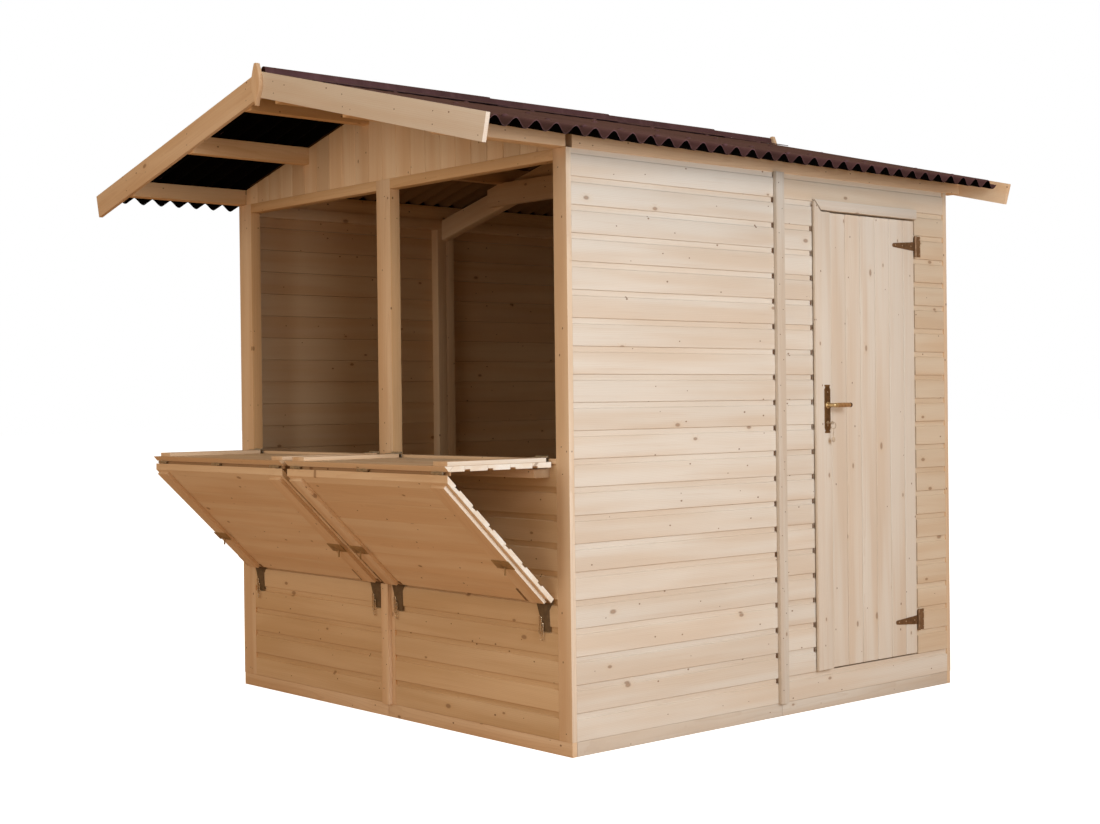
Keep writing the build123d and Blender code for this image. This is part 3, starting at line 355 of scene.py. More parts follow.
# painted shadow for the slots beside the cover strips
NOTCH_SHADOW = lacquered("painted_notch_shadow", rgb(116, 82, 56), rgb(120, 88, 60), 0.8, 0.0, 0.1)
HASP = lacquered("grey_brown_hasp", rgb(112, 94, 70), rgb(150, 130, 100), 0.5, 0.35, 0.3)
WIRE = lacquered("bright_wire", rgb(226, 206, 176), rgb(242, 232, 214), 0.25, 0.85, 0.2)
CORD = lacquered("pale_cord", rgb(206, 190, 168), rgb(214, 200, 180), 0.7, 0.0, 0.1)
END_CAP = lacquered("dark_cap", rgb(70, 48, 34), rgb(110, 84, 60), 0.35, 0.6)
SCREW = lacquered("bright_screw", rgb(206, 190, 166), rgb(232, 222, 206), 0.3, 0.85, 0.2)
DARK_BOLT = lacquered("aged_brass", rgb(166, 136, 94), rgb(206, 178, 130), 0.4, 0.5)


# ======== building blocks
def circle(steps):
    """Cosine and sine at even steps round a circle."""
    return [(math.cos(2 * math.pi * i / steps), math.sin(2 * math.pi * i / steps)) for i in range(steps)]


def tube(rings, sides, closed=False):
    """The faces that join rings of points, and its two ends unless it closes on itself."""
    faces = []
    for r in range(rings if closed else rings - 1):
        here, there = r * sides, (r + 1) % rings * sides
        for i in range(sides):
            j = (i + 1) % sides
            faces.append((here + i, here + j, there + j, there + i))
    if not closed:
        faces += [tuple(reversed(range(sides))), tuple(range((rings - 1) * sides, rings * sides))]
    return faces


class Piece:
    """Collects solids into one mesh, with grain coordinates and a tone for each board."""

    def __init__(self, name, node, slot, material=None, smooth=32, tint=None):
        self.name, self.node, self.slot, self.smooth = name, node, slot, smooth
        self.material = material or MATS[slot]
        self.tint = tint or (lambda centre, normal: PLAIN)
        self.verts, self.faces, self.grain, self.tone = [], [], [], []

    def add(self, verts, faces, along, across, out, origin, tone=None):
        """Adds one solid; its grain runs along the first of the three directions."""
        base = len(self.verts)
        tone = rng.random() if tone is None else tone
        start = rng.uniform(0, 40)
        a0, d0 = rng.uniform(-0.07, 0.07), rng.choice((-1, 1)) * rng.uniform(0.012, 0.09)
        sa, sd = rng.uniform(-0.012, 0.012), rng.uniform(-0.012, 0.012)
        for v in verts:
            p = Vector(v) - origin
            s, a, d = p.dot(along), p.dot(across), p.dot(out)
            self.grain.append((s + start, a + a0 + sa * s, d + d0 + sd * s))
            self.tone.append(tone)
            self.verts.append(tuple(v))
        self.faces += [tuple(base + i for i in f) for f in faces]

    def prism(self, outline, origin, along, across, out, length, ends=None, chamfer=CHAMFER, tone=None):
        """Adds a board: an outline of (across, out) pairs, extruded along its length with eased ends.

        ends(a, d) gives the start and end along the length where an end is cut at a slant."""
        n = len(outline)
        ca, cd = (sum(p[i] for p in outline) / n for i in (0, 1))
        ends = ends or (lambda a, d: (0.0, length))
        verts = []
        for end, inset, shrunk in ((0, 0, True), (0, chamfer, False), (1, -chamfer, False), (1, 0, True)):
            for a, d in outline:
                s = ends(a, d)[end] + inset
                if shrunk:
                    a -= math.copysign(min(chamfer, abs(a - ca)), a - ca)
                    d -= math.copysign(min(chamfer, abs(d - cd)), d - cd)
                verts.append(origin + along * s + across * a + out * d)
        self.add(verts, tube(4, n), along, across, out, origin, tone)

    def box(self, lo, hi, along, chamfer=0.0015):
        """Adds a squared timber with eased edges between two corners, its grain along X, Y or Z."""
        k = AXES.index(along)
        i, j = [n for n in range(3) if n != k]
        w, h = hi[i] - lo[i], hi[j] - lo[j]
        c = min(chamfer, w * 0.2, h * 0.2)
        outline = [(c, 0), (w - c, 0), (w, c), (w, h - c), (w - c, h), (c, h), (0, h - c), (0, c)]
        self.prism(outline, Vector(lo), along, AXES[i], AXES[j], hi[k] - lo[k], chamfer=c)

    def turned(self, profile, origin, along, sides):
        """Adds a turned solid: (place, radius) pairs along an axis that starts at the origin."""
        across = along.orthogonal().normalized()
        other = along.cross(across)
        verts = [origin + along * place + across * radius * c + other * radius * s
                 for place, radius in profile for c, s in circle(sides)]
        self.add(verts, tube(len(profile), sides), along, across, other, origin)

    def wire(self, path, radius, closed=True, sides=8):
        """Adds a bent wire along a path of points."""
        path = [Vector(p) for p in path]
        n = len(path)
        verts = []
        side = (path[1] - path[0]).orthogonal().normalized()
        for i, p in enumerate(path):
            before = path[i - 1] if i or closed else p
            after = path[(i + 1) % n] if i < n - 1 or closed else p
            way = (after - before).normalized()
            side = (side - way * side.dot(way)).normalized()
            other = way.cross(side)
            verts += [p + side * radius * c + other * radius * s for c, s in circle(sides)]
        self.add(verts, tube(n, sides, closed), X, Y, Z, path[0])

    def head(self, place, out, radius, rise=NAIL_RISE, sides=10):
        """Adds a nail or screw head standing a little out of a face."""
        profile = [(-0.0004, radius), (rise * 0.5, radius), (rise, radius * 0.7), (rise, radius * 0.2)]
        self.turned(profile, Vector(place), out, sides)

    def build(self, body=None):
        mesh = bpy.data.meshes.new(self.name)
        mesh.from_pydata(self.verts, [], self.faces)
        bm = bmesh.new()
        bm.from_mesh(mesh)
        bmesh.ops.recalc_face_normals(bm, faces=bm.faces)
        bm.to_mesh(mesh)
        bm.free()
        grain = mesh.attributes.new("grain", "FLOAT_VECTOR", "POINT")
        grain.data.foreach_set("vector", [c for g in self.grain for c in g])
        mesh.attributes.new("tone", "FLOAT", "POINT").data.foreach_set("value", self.tone)
        tints = [c for f in mesh.polygons for c in (*self.tint(f.center, f.normal), 1.0) * f.loop_total]
        mesh.attributes.new("tint", "FLOAT_COLOR", "CORNER").data.foreach_set("color", tints)
        return finish_piece(mesh, self.name, self.node, self.material, self.smooth, body)


def place_in_scene(name, data):
    obj = bpy.data.objects.new(name, data)
    bpy.context.scene.collection.objects.link(obj)
    return obj


def finish_piece(mesh, name, node, material, smooth, body=None):
    """Makes the object, shades it and body, and hides the CAD node it stands for."""
    mesh.materials.append(material)
    mesh.shade_smooth()
    mesh.set_sharp_from_angle(angle=math.radians(smooth))
    obj = place_in_scene(name, mesh)
    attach(obj, body or BODY_OF[node])
    if node:
        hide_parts(node)
    return obj


def set_crest(mesh, values):
    """How near each point is to the crest of a wave, which the roofing's colour follows."""
    mesh.attributes.new("crest", "FLOAT", "POINT").data.foreach_set("value", values)


def placed(v):
    """A sorting key, so that a node's points and solids come in the same order each run."""
    return tuple(round(c, 5) for c in v.co)


def cad_solids(node):
    """The separate solids of a CAD node, each as a small bmesh with welded corners."""
    whole = bmesh.new()
    whole.from_mesh(frame["nodes"][node].data)
    bmesh.ops.remove_doubles(whole, verts=whole.verts, dist=1e-5)
    left, out = set(whole.verts), []
    for seed in sorted(whole.verts, key=placed):
        if seed not in left:
            continue
        left.discard(seed)
        stack, island = [seed], []
        while stack:
            v = stack.pop()
            island.append(v)
            for e in v.link_edges:
                w = e.other_vert(v)
                if w in left:
                    left.discard(w)
                    stack.append(w)
        part = bmesh.new()
        island.sort(key=placed)
        fresh = {v: part.verts.new(v.co) for v in island}
        for f in {f: None for v in island for f in v.link_faces}:
            part.faces.new([fresh[v] for v in f.verts])
        part.normal_update()
        bmesh.ops.dissolve_limit(part, angle_limit=math.radians(1), verts=part.verts, edges=part.edges)
        part.normal_update()
        out.append(part)
    whole.free()
    return out


def corners(part):
    co = [v.co for v in part.verts]
    return tuple(Vector([pick(c[i] for c in co) for i in range(3)]) for pick in (min, max))


def solid_boxes(node):
    """The two corners of each solid of a node."""
    boxes = []
    for part in cad_solids(node):
        boxes.append(corners(part))
        part.free()
    return boxes


def toward(lo, hi, out):
    """The corner of a box that lies farthest along a direction."""
    return Vector([hi[i] if out[i] > 0 else lo[i] for i in range(3)])


def halves(part):
    """A solid cut in two at the ridge, or left as it is where it lies on one side."""
    lo, hi = corners(part)
    if lo.x > -0.001 or hi.x < 0.001:
        return [part]
    out = []
    for side in (-1, 1):
        half = part.copy()
        cut = bmesh.ops.bisect_plane(half, geom=half.verts[:] + half.edges[:] + half.faces[:], dist=1e-6,
                                     plane_co=(0, 0, 0), plane_no=(-side, 0, 0), clear_outer=True)
        rim = [g for g in cut["geom_cut"] if isinstance(g, bmesh.types.BMEdge)]
        bmesh.ops.edgenet_fill(half, edges=rim)
        half.normal_update()
        out.append(half)
    return out


def slope_axes(side):
    """The directions down the roof and square to it, on one side of the ridge."""
    return Vector((side * COS, 0, -SIN)), Vector((side * SIN, 0, COS))


def down_slope(lo, hi):
    """The direction down the roof on a solid's own side."""
    return slope_axes(math.copysign(1, lo.x + hi.x))[0]


def dress(name, node, slot="spruce_frame", along=None, ease=0.0014, material=None, tone=None, keep=None,
          tint=None):
    """Stands for simple CAD timbers or ironmongery with the same solids, their edges eased.

    The grain runs along each solid's longest side, along a direction that is given, or down the roof.
    A solid's two corners may say whether it is kept."""
    piece = Piece(name, node, slot, material, tint=tint)
    parts = cad_solids(node)
    if along is down_slope:
        parts = [half for part in parts for half in halves(part)]
    for part in sorted(parts, key=lambda p: tuple(round(c, 4) for c in corners(p)[0])):
        lo, hi = corners(part)
        if keep and not keep(lo, hi):
            continue
        sides = [hi[i] - lo[i] for i in range(3)]
        way = along(lo, hi) if along is down_slope else along or AXES[sides.index(max(sides))]
        if node == "barge_boards" and lo.y > 0:
            for v in part.verts:
                if v.co.z + abs(v.co.x) * TAN > hi.z - 0.03:
                    v.co.z -= REAR_BARGE_DROP
        sharp = [e for e in part.edges if len(e.link_faces) == 2 and e.calc_face_angle(0) > 0.5]
        bmesh.ops.bevel(part, geom=sharp, offset=min(ease, min(sides) * 0.2), segments=2, profile=0.6,
                        affect="EDGES", clamp_overlap=True)
        across = way.orthogonal().normalized()
        for axis in AXES:
            if abs(way.dot(axis)) < 0.2:
                across = (axis - way * way.dot(axis)).normalized()
        part.verts.index_update()
        piece.add([v.co for v in part.verts], [[v.index for v in f.verts] for f in part.faces],
                  way, across, way.cross(across), lo, tone)
        part.free()
    piece.build()


def clip(outline, index, limit, keep_above):
    """Cuts an outline of pairs at a limit of its first or second number."""
    out = []
    for p, q in zip(outline, outline[1:] + outline[:1]):
        inside_p = (p[index] >= limit) == keep_above
        inside_q = (q[index] >= limit) == keep_above
        if inside_p:
            out.append(p)
        if inside_p != inside_q:
            t = (limit - p[index]) / (q[index] - p[index])
            out.append(tuple(a + (b - a) * t for a, b in zip(p, q)))
    return out


# ======== walls
SIDING = [(0.0004, 0.0014), (0.0016, 0.0), (0.0706, 0.0), (0.0718, 0.0006), (0.0742, 0.0048),
          (REBATE_FOOT, REBATE_DEPTH), (0.1000, REBATE_DEPTH),
          (0.1000, 0.0168), (0.0988, CLADDING), (0.0092, CLADDING), (0.0080, 0.0168),
          (0.0080, 0.0055), (0.0004, 0.0055)]   # (height over the row's foot, depth behind the face)


def siding(piece, corner, along, out, length, z0, z1, hole=None):
    """Adds rows of siding boards to a wall, from corner along the wall, between two heights.

    A hole is (start, end, low, high); rows quite below or above it run past it."""
    for k in range(int((z0 - ROW_FOOT) / ROW + 1e-4), MOST_ROWS):
        foot = ROW_FOOT + k * ROW
        if foot > z1 - 0.004:
            break
        low, high = z0, z1
        spans = [(0.0, length)]
        if hole and foot + ROW > hole[2] + 0.01 and foot < hole[3]:
            spans = [(0.0, hole[0]), (hole[1], length)]
            if foot + ROW > hole[3]:
                spans.append((hole[0], hole[1]))
        elif hole and foot < hole[2]:
            high = hole[2]
        sink = rng.uniform(0, SINK)
        for start, end in spans:
            if hole and start == hole[0]:
                low = hole[3]
            outline = [(foot + h, -d) for h, d in SIDING]
            if foot < low:
                outline = clip(outline, 0, low, True)
            if foot + 0.1 > high:
                outline = clip(outline, 0, high, False)
            origin = Vector((corner[0], corner[1], 0)) - out * sink + along * start
            piece.prism(outline, origin, along, Z, out, end - start, chamfer=0.0008)


def wall(name, node, along, out, back, material=None, hole=None, colour_at=lambda centre: PLAIN):
    """Stands for a slab of wall with rows of siding; each solid of the node is a stretch of wall."""
    # faces that look inward take painted shade, as strong as back says
    inside_shade_tint = tuple(1 + back * (c - 1) for c in INSIDE_SHADE)
    piece = Piece(name, node, "spruce", material,
                  tint=lambda centre, normal: inside_shade_tint if normal.dot(out) < -0.5 else colour_at(centre))
    k = AXES.index(along)
    for lo, hi in solid_boxes(node):
        start = toward(lo, hi, out)
        start[k] = lo[k]
        siding(piece, start, along, out, hi[k] - lo[k], lo.z, hi.z, hole)
    piece.build()


def door_hole():
    """The door opening in the right wall: its start and end from the wall's start, and its two heights."""
    low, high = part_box("right_wall_rear")
    near = [v.co for v in frame["nodes"]["right_wall_rear"].data.vertices
            if low.y + 0.01 < v.co.y < high.y - 0.01 and low.z + 0.01 < v.co.z < high.z - 0.01]
    return (min(c.y for c in near) - low.y, max(c.y for c in near) - low.y,
            min(c.z for c in near), max(c.z for c in near))


HOLE = door_hole()


def rear_and_eave_shade(centre):
    """Painted shade: the short boards behind the door, toward the wall's rear, and those over it, under the
    eave, are made darker.
    """
    if centre.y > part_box("door_leaf")[1].y:
        return REAR_FALLOFF_SHADE
    return EAVE_SHADE if centre.z > HOLE[3] + 0.06 else PLAIN


# the number after the directions is how much painted shade each wall's inner faces take
wall("right_front_siding", "right_wall_front", Y, X, 0.4)
wall("right_rear_siding", "right_wall_rear", Y, X, 0.4, hole=HOLE, colour_at=rear_and_eave_shade)
wall("left_siding", "left_wall", Y, -X, 0.9)
wall("rear_siding", "rear_wall", X, Y, 0.0)
# the front wall takes the painted-shade spruce
wall("front_siding", "front_wall", X, -Y, 0.7, FRONT_SHADED)


def strip_notch_shadows():
    """Painted shadows: dark boxes in the slots that the rebates leave beside the strips that cover them, at
    their front edges.
    """
    piece = Piece("strip_notch_shadows", None, "spruce", NOTCH_SHADOW)
    strips = [box for box in solid_boxes("cover_strips") if box[0].x > DOOR_SIDE_X] + [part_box("door_strip")]
    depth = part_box("right_wall_front")[1].x - REBATE_DEPTH
    for lo, hi in strips:
        for k in range(MOST_ROWS):
            z = ROW_FOOT + k * ROW + REBATE_FOOT
            if lo.z < z and ROW_FOOT + k * ROW + 0.10 < hi.z:
                piece.box((depth - 0.001, lo.y - NOTCH_WIDTH, z),
                          (depth + 0.0006, lo.y + 0.002, z + NOTCH_HEIGHT), Y, chamfer=0.0003)
    piece.build("stall")


strip_notch_shadows()


def matched(width, depth, gap=0.0005, vee=0.0030):
    """Outline of a matched board with a V-joint on its face: (across, out), the face at out 0."""
    step, back, edge = min(0.006, depth * 0.5), 0.0008, width - 0.0002
    return [(gap, -vee), (gap + vee, 0), (width - gap - vee, 0), (width - gap, -vee), (width - gap, -step),
            (edge, -step), (edge, -depth + back), (edge - back, -depth),
            (0.0002 + back, -depth), (0.0002, -depth + back), (0.0002, -step), (gap, -step)]


def gable_boards():
    """Vertical matched boards of both gables, cut along the roof slope."""
    piece = Piece("gable_boards", "gables", "spruce", LEAF)
    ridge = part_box("gables")[1].z
    for lo, hi in sorted(solid_boxes("gables"), key=lambda box: box[0].y):
        out = -Y if lo.y < 0 else Y
        pitch = (hi.x - lo.x) / GABLE_BOARDS
        for i in range(GABLE_BOARDS):
            x0 = lo.x + i * pitch
            outline = matched(pitch, CLADDING)
            if x0 < 0 < x0 + pitch:
                outline = [(-x0, 0)] + outline
            origin = Vector((x0, toward(lo, hi, out).y, lo.z)) - out * rng.uniform(0, SINK)
            piece.prism(outline, origin, Z, X, out, 1.0,
                        ends=lambda a, d: (0.0, ridge - abs(x0 + a) * TAN - 0.001 - lo.z),
                        tone=rng.choice((-1.6, -0.6, 0.4, 1.2, 2.0)) + rng.random() * 0.2)
    piece.build()


gable_boards()

# ======== frame timbers


def door_side(lo, hi):
    return lo.x > DOOR_SIDE_X


def other_sides(lo, hi):
    return not door_side(lo, hi)


def post_tint(centre, normal):
    """Painted light makes the corner's outer face as pale as the lit wall beside it; painted shade makes
    faces inside the openings browner.
    """
    if normal.x < 0.6:
        return PLAIN
    return CORNER_LIT_FACE if centre.x > DOOR_SIDE_X else OPENING_SHADE


# painted light on the rear corner post's outer face
def rear_post_tint(centre, normal):
    return REAR_CORNER_LIT_FACE if normal.x > 0.6 and centre.x > DOOR_SIDE_X else PLAIN


dress("front_post_timbers", "front_posts", tint=post_tint)
dress("rear_post_timbers", "rear_posts", tint=rear_post_tint)
dress("sole_rail_timbers", "sole_rails", keep=other_sides)
dress("sole_rail_right", "sole_rails", "spruce", tone=-1.0, keep=door_side)
dress("front_sill_boards", "front_sill")
dress("front_lintel_boards", "front_lintel", material=PURLIN_SHADED)
dress("left_stud_timbers", "left_studs")
dress("right_stud_timbers", "right_studs")
dress("rear_stud_timbers", "rear_studs")
dress("top_plate_timbers", "side_top_plates")
dress("joint_cover_strips", "cover_strips", keep=other_sides)
dress("joint_cover_strips_right", "cover_strips", "spruce", tone=-1.5, keep=door_side)
# purlins in the roof's shade take the painted-shade spruce; the lit right eave purlin does not
dress("ridge_purlin_timbers", "ridge_purlins", material=PURLIN_SHADED)
dress("middle_purlin_timbers", "mid_purlins", material=PURLIN_SHADED)
dress("eave_purlin_timbers", "eave_purlins", material=PURLIN_SHADED, keep=lambda lo, hi: lo.x < 0)
dress("eave_purlin_right", "eave_purlins", keep=lambda lo, hi: lo.x > 0)
dress("rafter_timbers", "middle_rafters", along=down_slope)
dress("floor_joist_timbers", "floor_joists")
# painted light: the front right barge board is made paler and the left ones darker, as the light falls from
# the right
dress("barge_boards_left", "barge_boards", along=down_slope, tone=-0.3, keep=lambda lo, hi: lo.x + hi.x < 0)
dress("barge_board_front_right", "barge_boards", "spruce", along=down_slope, tone=1.9,
      keep=lambda lo, hi: lo.x + hi.x > 0 and lo.y < 0)
dress("barge_board_rear_right", "barge_boards", along=down_slope, tone=0.6,
      keep=lambda lo, hi: lo.x + hi.x > 0 and lo.y > 0)
dress("finial_boards", "finials", along=Z)
# painted shade darkens the rail's end under the counter
dress("counter_rail_timbers", "counter_rail",
      tint=lambda centre, normal: RAIL_END_SHADE if normal.x > 0.7 else PLAIN)


def rafter_tie():
    """A level board that ties the middle rafters, nailed to their front faces, its ends cut to the roof."""
    lo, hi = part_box("middle_rafters")
    shoulder = TIE_DEPTH - TIE_CUT

    def ends(a, d):
        cut = max(0.0, a - shoulder) / TAN
        return -TIE_REACH + cut, TIE_REACH - cut

    outline = [(0, 0), (shoulder, 0), (TIE_DEPTH, 0),
               (TIE_DEPTH, TIE_THICK), (shoulder, TIE_THICK), (0, TIE_THICK)]
    place = Vector((0, lo.y - TIE_THICK, hi.z - TAN * TIE_REACH - TIE_DEPTH + 0.030))
    piece = Piece("rafter_tie_board", None, "spruce_frame")
    piece.prism(outline, place, X, Z, Y, 1.0, ends=ends, chamfer=0.0015)
    piece.build("stall")


rafter_tie()


def floor_boards():
    piece = Piece("floor_boards", "floor_deck", "floor_board")
    lo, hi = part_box("floor_deck")
    pitch = (hi.x - lo.x) / FLOOR_BOARDS
    for i in range(FLOOR_BOARDS):
        outline = matched(pitch, hi.z - lo.z, gap=0.0006, vee=0.0012)
        piece.prism(outline, Vector((lo.x + i * pitch, lo.y, hi.z)), Y, X, Z, hi.y - lo.y)
    piece.build()


floor_boards()


# ======== door
def door_boards():
    piece = Piece("door_boards", "door_leaf", "spruce")
    lo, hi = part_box("door_leaf")
    for y0, y1 in zip(DOOR_SEAMS, DOOR_SEAMS[1:]):
        outline = matched(y1 - y0, CLADDING, gap=0.0011, vee=0.0024)
        piece.prism(outline, Vector((hi.x, y0, lo.z)), Z, Y, X, hi.z - lo.z)
    piece.build()


door_boards()
dress("door_cover_strip", "door_strip", "spruce", along=Z)
dress("door_ledge_boards", "door_ledges")
dress("door_head_board", "door_head_trim", "spruce", tone=-1.0)

# ======== flaps
TILT = math.pi - math.radians(JOINTS["brace_left_fold"]["range_deg"][1])
DOWN = Vector((0, math.cos(TILT), -math.sin(TILT)))    # from the brace's upper edge to its foot
FACE = Vector((0, math.sin(TILT), math.cos(TILT)))     # out of its rebated face


def lit_end_tint(centre, normal):
    """Painted light: the ends at the lit outer edge of the right leaf show paler than the boards' faces."""
    return LIT_END_LIGHT if normal.x > 0.7 and centre.x > DOOR_SIDE_X else PLAIN


def leaf_boards(name, node, origin, along_leaf, out, length, first, bevel, thick):
    """The rebated boards of a leaf, which run along X. The rebates are on the face that looks along out,
    and the first board's edge is the slanted one at the outer knuckles."""
    piece = Piece(name, node, "spruce", LEAF, tint=lit_end_tint)
    lo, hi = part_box(node)
    cuts = [0.0]
    while first + (len(cuts) - 1) * LEAF_PITCH + LEAF_REBATE < length:
        cuts.append(first + (len(cuts) - 1) * LEAF_PITCH - LEAF_REBATE / 2)
    cuts.append(length)
    gap, ease, rise = 0.0004, 0.0012, LEAF_REBATE + 0.0008
    for i, (start, end) in enumerate(zip(cuts, cuts[1:])):
        width = end - start - (gap if i < len(cuts) - 2 else 0)
        if i:
            outline = [(0, -LEAF_DEPTH), (LEAF_REBATE - ease, -LEAF_DEPTH), (LEAF_REBATE, -LEAF_DEPTH + ease),
                       (rise, -ease), (rise + ease, 0)]
        else:
            outline = [(0, 0)]
        outline += [(width - ease, 0), (width, -ease), (width, -thick), (0 if i else bevel, -thick)]
        piece.prism(outline, Vector((lo.x, origin.y, origin.z)) + along_leaf * start, X, along_leaf, out,
                    hi.x - lo.x, chamfer=0.0010)
    piece.build()


def extent(node, direction):
    spots = [v.co.dot(direction) for v in frame["nodes"][node].data.vertices]
    return min(spots), max(spots)


def slit_lath(side):
    """A slim lath under the counter, just inside its outer hinges: it closes the slit between the leaves."""
    lo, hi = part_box(f"counter_{side}")
    pin = Vector(JOINTS[f"brace_{side}_fold"]["pos_m"])
    near = pin.y + LATH_INSET
    piece = Piece(f"leaf_slit_lath_{side}", None, "spruce", LEAF, tint=lambda centre, normal: LATH_SHADE)
    piece.box((lo.x + 0.002, near, pin.z - LATH_DROP), (hi.x - 0.002, near + LATH_THICK, lo.z + 0.0005), X)
    piece.build(f"counter_flap_{side}")


for side in ("left", "right"):
    slit_lath(side)
    lo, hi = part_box(f"counter_{side}")
    leaf_boards(f"counter_boards_{side}", f"counter_{side}", Vector((0, lo.y + BEVEL, lo.z)), Y, -Z,
                hi.y - lo.y - BEVEL, COUNTER_FIRST, -BEVEL, hi.z - lo.z)
    dress(f"counter_batten_boards_{side}", f"counter_battens_{side}", tint=lit_end_tint)
    s0, s1 = extent(f"brace_{side}", DOWN)
    f0, f1 = extent(f"brace_{side}", FACE)
    leaf_boards(f"brace_boards_{side}", f"brace_{side}", DOWN * s0 + FACE * f1, DOWN, FACE,
                s1 - s0, BRACE_FIRST, BEVEL, f1 - f0)
    dress(f"brace_batten_boards_{side}", f"brace_battens_{side}", along=DOWN, tint=lit_end_tint)
    dress(f"counter_butt_hinges_{side}", f"counter_hinges_{side}", "zinc_steel", ease=0.0004)
    dress(f"brace_butt_hinges_{side}", f"brace_hinges_{side}", "zinc_steel", ease=0.0004)
    dress(f"brace_strap_hasps_{side}", f"brace_hasps_{side}", "hinge_steel", ease=0.0006)
    dress(f"brace_bolt_plates_{side}", f"brace_bolts_{side}", "zinc_steel", ease=0.0006, material=DARK_BOLT)
dress("sill_butt_hinges", "sill_hinges", "zinc_steel", ease=0.0004)
dress("wall_hasp_plates", "wall_hasps", "hinge_steel", ease=0.0006, material=HASP)


def loop(x, y, low, high, half, steps=10):
    """Points round a long closed loop that hangs in the XZ plane."""
    upper = [(x + half * math.cos(math.pi * i / steps), y, high - half + half * math.sin(math.pi * i / steps))
             for i in range(steps + 1)]
    return upper + [(2 * x - a, y, low + high - c) for a, y, c in upper]


def snap_hooks():
    """Two linked wire loops on every hasp."""
    piece = Piece("wire_snap_hooks", "snap_hooks", "zinc_steel", WIRE, smooth=60)
    half = HOOK_WIDTH / 2
    for lo, hi in sorted(solid_boxes("snap_hooks"), key=lambda box: box[0].x):
        for x, y, z in ((lo.x + half, hi.y - 0.0016, hi.z - HOOK_HEIGHT), (hi.x - half, lo.y + 0.0016, lo.z)):
            piece.wire(loop(x, y, z, z + HOOK_HEIGHT, half - HOOK_WIRE), HOOK_WIRE)
    piece.build()


snap_hooks()

# ======== door ironmongery
dress("door_hinge_straps", "hinge_straps", "hinge_steel", ease=0.0006)
dress("door_hinge_plates", "hinge_plates", "hinge_steel", ease=0.0006)
dress("handle_back_plate", "handle_plate", "handle_metal", ease=0.0008)


def lever_handle():
    """A brass neck and collar, a turned brown grip and its dark cap."""
    lo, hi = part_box("lever")
    middle = (hi.z + lo.z) / 2
    pivot = Vector((lo.x, lo.y + 0.008, middle))
    turn = Vector((hi.x - (hi.z - lo.z) / 2, pivot.y, middle))
    length = hi.y - turn.y
    reach = length - 0.0100
    profiles = (
        ("lever_neck", BRASS,
         [(0, 0.0125), (0.0022, 0.0125), (0.0034, 0.0100), (0.0042, 0.0078), (turn.x - pivot.x, 0.0076)],
         pivot, X),
        ("lever_neck", BRASS,
         [(-0.0078, 0.002), (-0.0066, 0.0048), (-0.0036, 0.0070), (0, 0.0078), (0.0075, 0.0074),
          (0.0082, 0.0086), (0.0120, 0.0086), (0.0128, 0.0074), (0.0150, 0.0078)], turn, Y),
        ("lever_grip", GRIP,
         [(0.0151, 0.0070), (0.0157, 0.0082), (0.0180, 0.0086), (length * 0.55, 0.0089),
          (length - 0.0105, 0.0085), (reach, 0.0076)], turn, Y),
        ("lever_end_cap", END_CAP,
         [(reach, 0.0079), (length - 0.0090, 0.0089), (length - 0.0030, 0.0089), (length - 0.0008, 0.0074),
          (length, 0.0045)], turn, Y),
    )
    pieces = {}
    for name, material, profile, origin, along in profiles:
        if name not in pieces:
            pieces[name] = Piece(name, "lever", "handle_metal", material, smooth=50)
        pieces[name].turned(profile, origin, along, 24)
    for piece in pieces.values():
        piece.build()


def door_key():
    """The key in its lock, a split ring, a cord and a small tag."""
    lo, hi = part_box("door_key")
    middle, top = (lo.y + hi.y) / 2, hi.z - 0.006
    front = hi.x - 0.0015
    key = Piece("door_key_shank", "door_key", "zinc_steel", SCREW, smooth=50)
    key.turned([(0, 0.0075), (0.0016, 0.0075), (0.0024, 0.0030), (front - lo.x - 0.002, 0.0028)],
               Vector((lo.x, middle, top)), X, 16)
    key.wire([(front, middle + 0.0062 * c, top + 0.0052 * s) for c, s in circle(16)], 0.0013)
    middle += 0.006                  # the ring hangs a little aside
    centre = top - 0.0105
    key.wire([(front + 0.0008 * c, middle + 0.0135 * c, centre + 0.0125 * s) for c, s in circle(28)], 0.0011)
    key.build()
    low = centre - 0.0125
    cord = Piece("key_cord_and_tag", "door_key", "zinc_steel", CORD, smooth=50)
    cord.wire([(front + 0.0004, middle - 0.001, low + 0.003), (front, middle + 0.0012, low - 0.010),
               (front, middle - 0.0008, low - 0.022), (front, middle, lo.z + 0.016)], 0.0012, closed=False)
    tag = [(0.0095 * c, 0.0105 * s) for c, s in circle(16)]
    cord.prism(tag, Vector((front - 0.001, middle, lo.z + 0.0108)), X, Y, Z, 0.002, chamfer=0.0004)
    cord.build()


lever_handle()
door_key()


def screws():
    """Screw heads of the door's ironmongery."""
    moving = Piece("door_strap_screws", None, "zinc_steel", SCREW, smooth=50)
    fixed = Piece("wall_plate_screws", None, "zinc_steel", SCREW, smooth=50)

    def screw(piece, x, y, z):
        piece.head((x, y, z), X, SCREW_RADIUS, SCREW_RISE, SCREW_SIDES)

    for lo, hi in solid_boxes("hinge_straps"):
        face, z = lo.x + 0.0025, (lo.z + hi.z) / 2
        for share in (0.12, 0.42, 0.80):
            screw(moving, face, lo.y + (hi.y - lo.y) * share, z)
        for rise in (-0.028, 0, 0.028):
            screw(fixed, face, hi.y + 0.026, z + rise)
    lo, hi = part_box("handle_plate")
    for z in (lo.z + 0.028, hi.z - 0.028):
        screw(moving, hi.x, (lo.y + hi.y) / 2, z)
    moving.build("door")
    fixed.build("stall")


screws()


